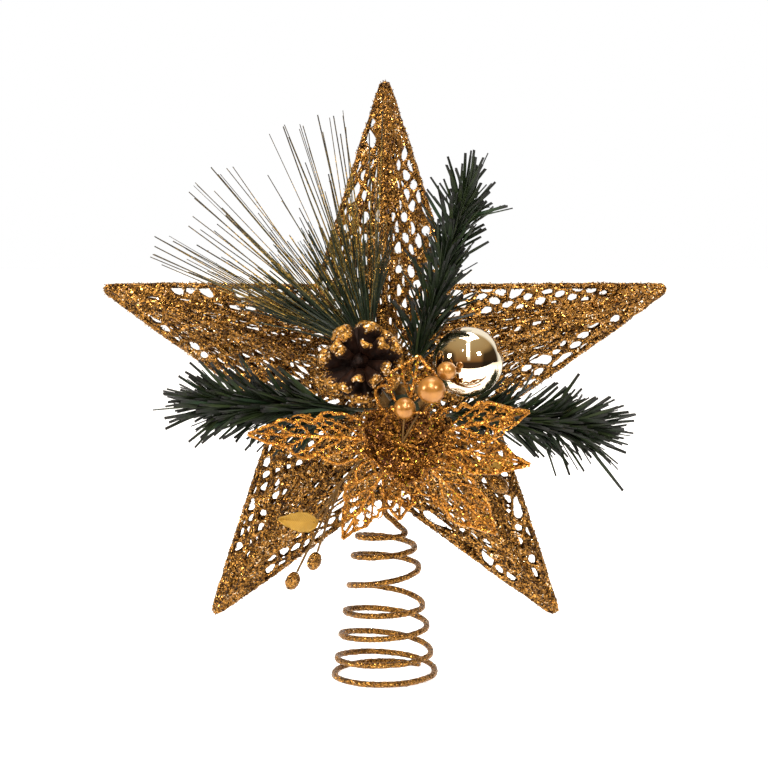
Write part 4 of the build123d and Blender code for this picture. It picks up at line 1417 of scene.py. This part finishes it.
class STAR_OT_flower(bpy.types.Operator):
    """Lace flower: seven petals and a crumpled middle"""
    bl_idname = "tree_star.flower"
    bl_label = "Flower"

    def execute(self, context):
        flake = context.scene.tree_star_frame.flake
        trim = context.scene.tree_star_trim
        shades = context.scene.tree_star_colours
        # Painted glint: the pale third colour is the lace's glint colour
        lace = glitter("flower_lace", shades.lace_painted_shade, shades.lace, (1.0, 0.78, 0.40), grain=0.0006,
                       tilt=1.0, spread=0.55, patchy=0.7, accent=shades.lace_fleck)
        centre = pick_point(*FLOWER)
        for index, (name, (angle, long, width, layer, lean, scraps)) in enumerate(PETALS.items()):
            petal = lace_petal(name + "_lace", long * MM, width * MM, 20 + index, trim, scraps)
            set_in_flower(petal, angle, lean, PETAL_ROOT, layer * MM, PETAL_CLEAR)
            roughen(petal, strength=0.0005, grain=0.001)
            coat(petal, lace)
            dust(petal, 450, flake * 0.5, seed=400 + index, sink=0.1)
            smooth(petal)
            fit(petal, "star", "glitter_lace", name + "_petal")
        frills = []
        rng = np.random.default_rng(33)
        for index in range(FRILLS):
            # Painted shade: the frills in the flower's middle get glow -0.55, so their colour loses painted
            # glint and darkens
            frill = lace_petal(f"frill_{index}", rng.uniform(0.015, 0.021), rng.uniform(0.012, 0.018),
                               60 + index, trim, scraps=1.7, glow=-0.55)
            set_in_flower(frill, index * GOLDEN_ANGLE, 22 + 5 * (index % 4), FRILL_ROOT, FRILL_LAYER)
            frills.append(frill)
        hub = drum("hub", HUB_RADIUS, HUB_DEPTH, centre, sides=24)
        lines = []
        for curl in range(CURLS):
            hang = centre + Vector((rng.uniform(-6, 6), -2.0 - curl * 0.6, -6.0)) * MM
            swing = rng.choice([-1, 1]) * rng.uniform(2.0, 5.0)
            drop = rng.uniform(9, 15)
            lines.append(even(hang + Vector((swing * sin(step * 0.5), 0.4 * sin(step), -drop * step / 6)) * MM
                              for step in range(7)))
        curls = wire("curls", lines, CURL_RADIUS, sides=1, steps=4)
        middle = joined("flower_middle", [hub, curls] + frills)
        roughen(middle, strength=0.0006, grain=0.001)
        coat(middle, lace)
        dust(middle, 800, flake * 0.45, seed=420, sink=0.1)
        smooth(middle)
        fit(middle, "star", "glitter_lace", "flower_hub")
        return {"FINISHED"}


class STAR_OT_berries(bpy.types.Operator):
    """Pearl berries in front of the flower"""
    bl_idname = "tree_star.berries"
    bl_label = "Berries"

    def execute(self, context):
        root = pick_point(*FLOWER) + FORWARD * BERRY_WIRES_FORWARD
        beads = []
        for place, radius in BERRIES:
            centre = pick_point(*place)
            bead = sphere("bead", radius * MM, 40, 24)
            points = points_of(bead)
            # Dimple where the wire enters
            low = np.clip(-points[:, 2] / (radius * MM) - 0.94, 0, 1)
            points[:, 2] += low * radius * MM * 2.2
            move_points(bead, points)
            beads.append(stood(bead, (centre - root).normalized(), centre, (0, 0, 1)))
        berries = joined("berries", beads)
        roughen(berries, strength=0.0003, grain=0.003)
        coat(berries, pearl("gold_pearl", context.scene.tree_star_colours.pearl))
        smooth(berries)
        fit(berries, "star", "gold_pearl", "berry_beads")
        return {"FINISHED"}


# Leaf sprays

# Fork of the stem, leaves (foot, length, width, angle) and buds (foot, radius), in millimetres and degrees
LEAF_SPRAYS = {
    "left_leaf": ((-28, 8.5, -32), [((-39.5, 11.5, -48.5), 15, 9, 175)],
                  [((-38, 8.5, -62), 4.2), ((-47, 8.5, -71), 4.2)]),
    "right_leaf": ((30, 7.5, -22), [((35, 10.5, -22), 11, 8, 0)], [((38, 7.5, -29), 4.8)]),
}
LEAF_STALK = 3 * MM
LEAF_GAP = 0.8 * MM
LEAF_THICKNESS = 0.5 * MM
BUD_GAP = 0.3 * MM


def satin_blade(long, width):
    """A folded leaf at the origin that points along x, with a short stalk behind it."""
    blade = grid("blade", 16, 10, 2)
    points = points_of(blade)
    share, t = (points[:, 0] + 1) / 2, points[:, 1]
    half = width / 2 * np.maximum(np.sin(pi * share**0.75), 0.02) ** 0.8
    half *= 1 + 0.08 * np.sin(share * 31 + t)
    fold = np.abs(t) * half * 0.6
    wave = 0.0011 * np.sin(share * 7 + t) * t + 0.0005 * np.sin(share * 26) * np.abs(t)
    along = share * (long + LEAF_STALK) - LEAF_STALK
    move_points(blade, np.stack([along, t * half, fold + wave - 0.001 * share**2], axis=1))
    modify(blade, "SOLIDIFY", thickness=LEAF_THICKNESS, offset=0)
    return rounded(blade)


class STAR_OT_leaf_sprays(bpy.types.Operator):
    """Satin leaves and glittered buds on thin stems"""
    bl_idname = "tree_star.leaf_sprays"
    bl_label = "Leaf Sprays"

    def execute(self, context):
        shades = context.scene.tree_star_colours
        cloth = satin("satin_gold", shades.satin)
        # Painted glint: the pale third colour is the buds' glint colour
        bud_glitter = glitter("bud_glitter", shades.glitter_painted_shade, shades.glitter, (1.0, 0.82, 0.48),
                              grain=0.0005, tilt=1.1, spread=0.7, patchy=0.6)
        for name, (fork_at, leaves, buds) in LEAF_SPRAYS.items():
            fork = pick_point(*fork_at)
            blades = []
            for place, long, width, angle in leaves:
                along = outward_at(angle)
                across = FORWARD.cross(along)
                blade = satin_blade(long * MM, width * MM)
                foot = pick_point(*place) + along * LEAF_GAP
                blades.append(placed(blade, along, across, along.cross(across), foot))
            leaf = joined(name + "_satin", blades)
            coat(leaf, cloth)
            smooth(leaf)
            fit(leaf, name + "_spray", "satin_gold", name + "_blades")
            beads = []
            for place, radius in buds:
                end = pick_point(*place)
                along = (end - fork).normalized()
                bead = sphere("bud", radius * MM, 24, 16)
                with editing(bead):
                    bpy.ops.transform.resize(value=(0.72, 0.72, 1.0), center_override=(0, 0, 0))
                beads.append(stood(bead, along, end + along * (radius * MM + BUD_GAP)))
            bud = joined(name + "_beads", beads)
            roughen(bud, strength=0.0007, grain=0.0012)
            coat(bud, bud_glitter)
            dust(bud, 260 * len(buds), 0.0006, seed=500 + len(buds), sink=0.1)
            smooth(bud)
            fit(bud, name + "_spray", "glitter_bud", name + "_buds")
        return {"FINISHED"}


# Core and the small pieces that keep their solid

# Tape wound on the core: turns, points of one turn, and its start, run and radius in millimetres
TAPE_TURNS = 7
TAPE_STEPS = 16
TAPE_FROM = 1.1
TAPE_LONG = 12.8
TAPE_RADIUS = 6.35
TAPE_EDGE = 1.1 * MM
TAPED_LIMIT = 6.95 * MM
CORE_RADIUS = 6.4 * MM
CORE_DEPTH = 14.8 * MM
CORE_MIDDLE = (0, 7.5, 0)


class STAR_OT_pick_core(bpy.types.Operator):
    """Taped core with its stems, wires, staple, glue and ball cap"""
    bl_idname = "tree_star.pick_core"
    bl_label = "Core and Wires"

    def execute(self, context):
        bare = drawn_wire("bare_wire", (0.14, 0.12, 0.09))
        gilt = drawn_wire("gilt_wire", (0.14, 0.07, 0.016), metallic=0.7, rough=0.4)
        cap = drawn_wire("cap_plate", (0.78, 0.58, 0.26), rough=0.2)
        painted = drawn_wire("painted_wire", (0.035, 0.04, 0.022), metallic=0.1, rough=0.45)
        tape = crepe_tape("stem_tape", (0.014, 0.022, 0.010))
        glue = set_glue("set_glue", (0.20, 0.11, 0.035))
        finishes = {
            "pick_staple": bare, "cone_wire": bare, "ball_wire": bare,
            "berry_wires": gilt, "left_leaf_stem": gilt, "right_leaf_stem": gilt,
            "upper_branch_stem": painted, "left_branch_stem": painted,
            "right_branch_stem": painted, "spray_stem": painted,
            "ball_cap": cap, "flower_stem": tape, "glue_pad": glue,
        }
        for name, material in finishes.items():
            coat(frame["nodes"][name], material)
        line = []
        for step in range(TAPE_TURNS * TAPE_STEPS + 1):
            angle = 2 * pi * step / TAPE_STEPS
            forward = TAPE_FROM + TAPE_LONG * step / (TAPE_TURNS * TAPE_STEPS)
            line.append(pick_point(TAPE_RADIUS * cos(angle), forward, TAPE_RADIUS * sin(angle)))
        band = wire("band", [even(line)], TAPE_EDGE, kind="BEZIER", sides=1, steps=2)
        core = drum("core", CORE_RADIUS, CORE_DEPTH, pick_point(*CORE_MIDDLE), sides=32)
        core = joined("taped_core", [core, band])
        offset = points_of(core) - np.array(CORE)
        radius = np.linalg.norm(offset[:, [0, 2]], axis=1)
        offset[:, [0, 2]] *= np.minimum(1.0, TAPED_LIMIT / np.maximum(radius, 1e-6))[:, None]
        move_points(core, offset + np.array(CORE))
        coat(core, tape)
        smooth(core)
        fit(core, "star", "green_tape", "pick_core")
        return {"FINISHED"}


# Stage

# Name, place, width, height, power and tint of each light
LIGHTS = (
    ("strip", (0.0, -1.1, 1.15), 0.20, 1.1, 22.0, (1.0, 0.98, 0.95)),
    ("left", (-1.3, -0.55, 0.62), 0.26, 0.26, 13.0, (1.0, 0.97, 0.92)),
    ("right", (0.85, -1.1, 0.85), 0.26, 0.26, 11.0, (1.0, 0.98, 0.95)),
    ("spark", (-0.5, -1.3, 1.3), 0.05, 0.05, 5.0, (1.0, 0.96, 0.9)),
    ("top", (0.1, 0.1, 1.6), 0.9, 0.9, 12.0, (1.0, 1.0, 1.0)),
)
# Camera: focal length and width of its frame in pixels, sensor, aim, distance and height angle
FOCAL_PIXELS = 1746.5
FRAME_PIXELS = 768
SENSOR_WIDTH = 36.0
CAMERA_AIM = Vector((-0.45, 0, 135.8)) * MM
CAMERA_DISTANCE = 0.8
CAMERA_ANGLE = 5
FLOOR_MIDDLE = (0, 4.0, 0)


def light_room(scene):
    """Surroundings that the ball and the glitter mirror: a warm room with dark sides and a bright slot."""
    world = bpy.data.worlds.new("studio")
    world.use_nodes = True
    scene.world = world
    sky = Nodes(world.node_tree)
    toward = sky.node("ShaderNodeTexCoord", output="Generated")
    x, y, z = (sky.node("ShaderNodeSeparateXYZ", {}, {0: toward}, output) for output in "XYZ")
    room = sky.ramp(z, (0.0, (0.05, 0.03, 0.02, 1)), (0.12, (0.26, 0.13, 0.05, 1)),
                    (0.5, (0.36, 0.24, 0.11, 1)), (0.95, (0.46, 0.36, 0.21, 1)))
    sides = sky.mask(x * x, 0.38, 0.6)
    low = sky.ramp(z, (0.40, WHITE), (0.62, BLACK))
    room = sky.mixed(sides * low * 0.9, room, (0.02, 0.015, 0.01, 1))
    slot = sky.ramp(x * x, (0.003, WHITE), (0.010, BLACK))
    tall = sky.mask(z, 0.10, 0.35)
    room = sky.mixed(slot * tall, room, (1.6, 1.55, 1.45, 1))
    lit = sky.mixed(sky.mask(y, 0.30, 0.50), room, WHITE)
    seen = sky.node("ShaderNodeLightPath", output="Is Camera Ray")
    feed(sky.tree, sky.tree.nodes["Background"].inputs["Color"], sky.mixed(seen, lit, WHITE))


class STAR_OT_stage(bpy.types.Operator):
    """Pale floor, soft lights and the camera"""
    bl_idname = "tree_star.stage"
    bl_label = "Stage"

    def execute(self, context):
        tint = context.scene.tree_star_colours.floor
        start()
        bpy.ops.mesh.primitive_plane_add(size=2, location=FLOOR_MIDDLE)
        floor = called("floor")
        bpy.ops.transform.resize(value=(5.0, 4.5, 1.0), center_override=FLOOR_MIDDLE)
        bpy.ops.object.transform_apply(location=True, scale=True)
        finish = Finish("pale_floor", Roughness=0.6, Specular_IOR_Level=0.2, Emission_Color=WHITE,
                        Emission_Strength=0.6)
        body = finish.ramp(finish.noise(3.0), (0.3, rgba(tint, 0.985)), (0.7, rgba(tint)))
        coat(floor, finish.drive(Base_Color=body))
        light_room(context.scene)
        for name, place, width, height, power, glow in LIGHTS:
            light = bpy.data.lights.new(name, "AREA")
            light.shape = "RECTANGLE"
            light.size = width
            light.size_y = height
            light.energy = power
            light.color = glow
            lamp = bpy.data.objects.new(name, light)
            lamp.location = place
            lamp.rotation_euler = (CENTRE - Vector(place)).to_track_quat("-Z", "Y").to_euler()
            context.collection.objects.link(lamp)
        camera = bpy.data.cameras.new("camera")
        camera.sensor_width = SENSOR_WIDTH
        camera.lens = SENSOR_WIDTH * FOCAL_PIXELS / FRAME_PIXELS
        camera.clip_start = 0.01
        holder = bpy.data.objects.new("camera", camera)
        back = Vector((0, -cos(radians(CAMERA_ANGLE)), sin(radians(CAMERA_ANGLE))))
        holder.location = CAMERA_AIM + back * CAMERA_DISTANCE
        holder.rotation_euler = (-back).to_track_quat("-Z", "Y").to_euler()
        context.collection.objects.link(holder)
        context.scene.camera = holder
        context.scene.view_settings.view_transform = "Standard"
        return {"FINISHED"}


GROUPS = {
    "tree_star_frame": STAR_PG_frame,
    "tree_star_coil": STAR_PG_coil,
    "tree_star_pine": STAR_PG_pine,
    "tree_star_trim": STAR_PG_trim,
    "tree_star_colours": STAR_PG_colours,
}
OPERATORS = (STAR_OT_coil, STAR_OT_lashing, STAR_OT_frame_wires, STAR_OT_netting, STAR_OT_branches,
             STAR_OT_needle_spray, STAR_OT_pine_cone, STAR_OT_ball, STAR_OT_flower, STAR_OT_berries,
             STAR_OT_leaf_sprays, STAR_OT_pick_core, STAR_OT_stage)


class STAR_PT_panel(bpy.types.Panel):
    """Values and pieces of the tree star"""
    bl_idname = "STAR_PT_panel"
    bl_label = "Tree Star"
    bl_space_type = "VIEW_3D"
    bl_region_type = "UI"
    bl_category = "Tree Star"

    def draw(self, context):
        for group in GROUPS:
            column = self.layout.column(align=True)
            values_of = getattr(context.scene, group)
            for name in values_of.__annotations__:
                column.prop(values_of, name)
        for operator in OPERATORS:
            self.layout.operator(operator.bl_idname)


def register():
    for group in GROUPS.values():
        bpy.utils.register_class(group)
    for name, group in GROUPS.items():
        setattr(bpy.types.Scene, name, PointerProperty(type=group))
    for operator in OPERATORS:
        bpy.utils.register_class(operator)
    bpy.utils.register_class(STAR_PT_panel)


def unregister():
    bpy.utils.unregister_class(STAR_PT_panel)
    for operator in reversed(OPERATORS):
        bpy.utils.unregister_class(operator)
    for name, group in reversed(GROUPS.items()):
        delattr(bpy.types.Scene, name)
        bpy.utils.unregister_class(group)


def main():
    register()
    bpy.ops.tree_star.coil()
    bpy.ops.tree_star.lashing()
    bpy.ops.tree_star.frame_wires()
    bpy.ops.tree_star.netting()
    bpy.ops.tree_star.branches()
    bpy.ops.tree_star.needle_spray()
    bpy.ops.tree_star.pine_cone()
    bpy.ops.tree_star.ball()
    bpy.ops.tree_star.flower()
    bpy.ops.tree_star.berries()
    bpy.ops.tree_star.leaf_sprays()
    bpy.ops.tree_star.pick_core()
    bpy.ops.tree_star.stage()


if __name__ == "__main__":
    main()
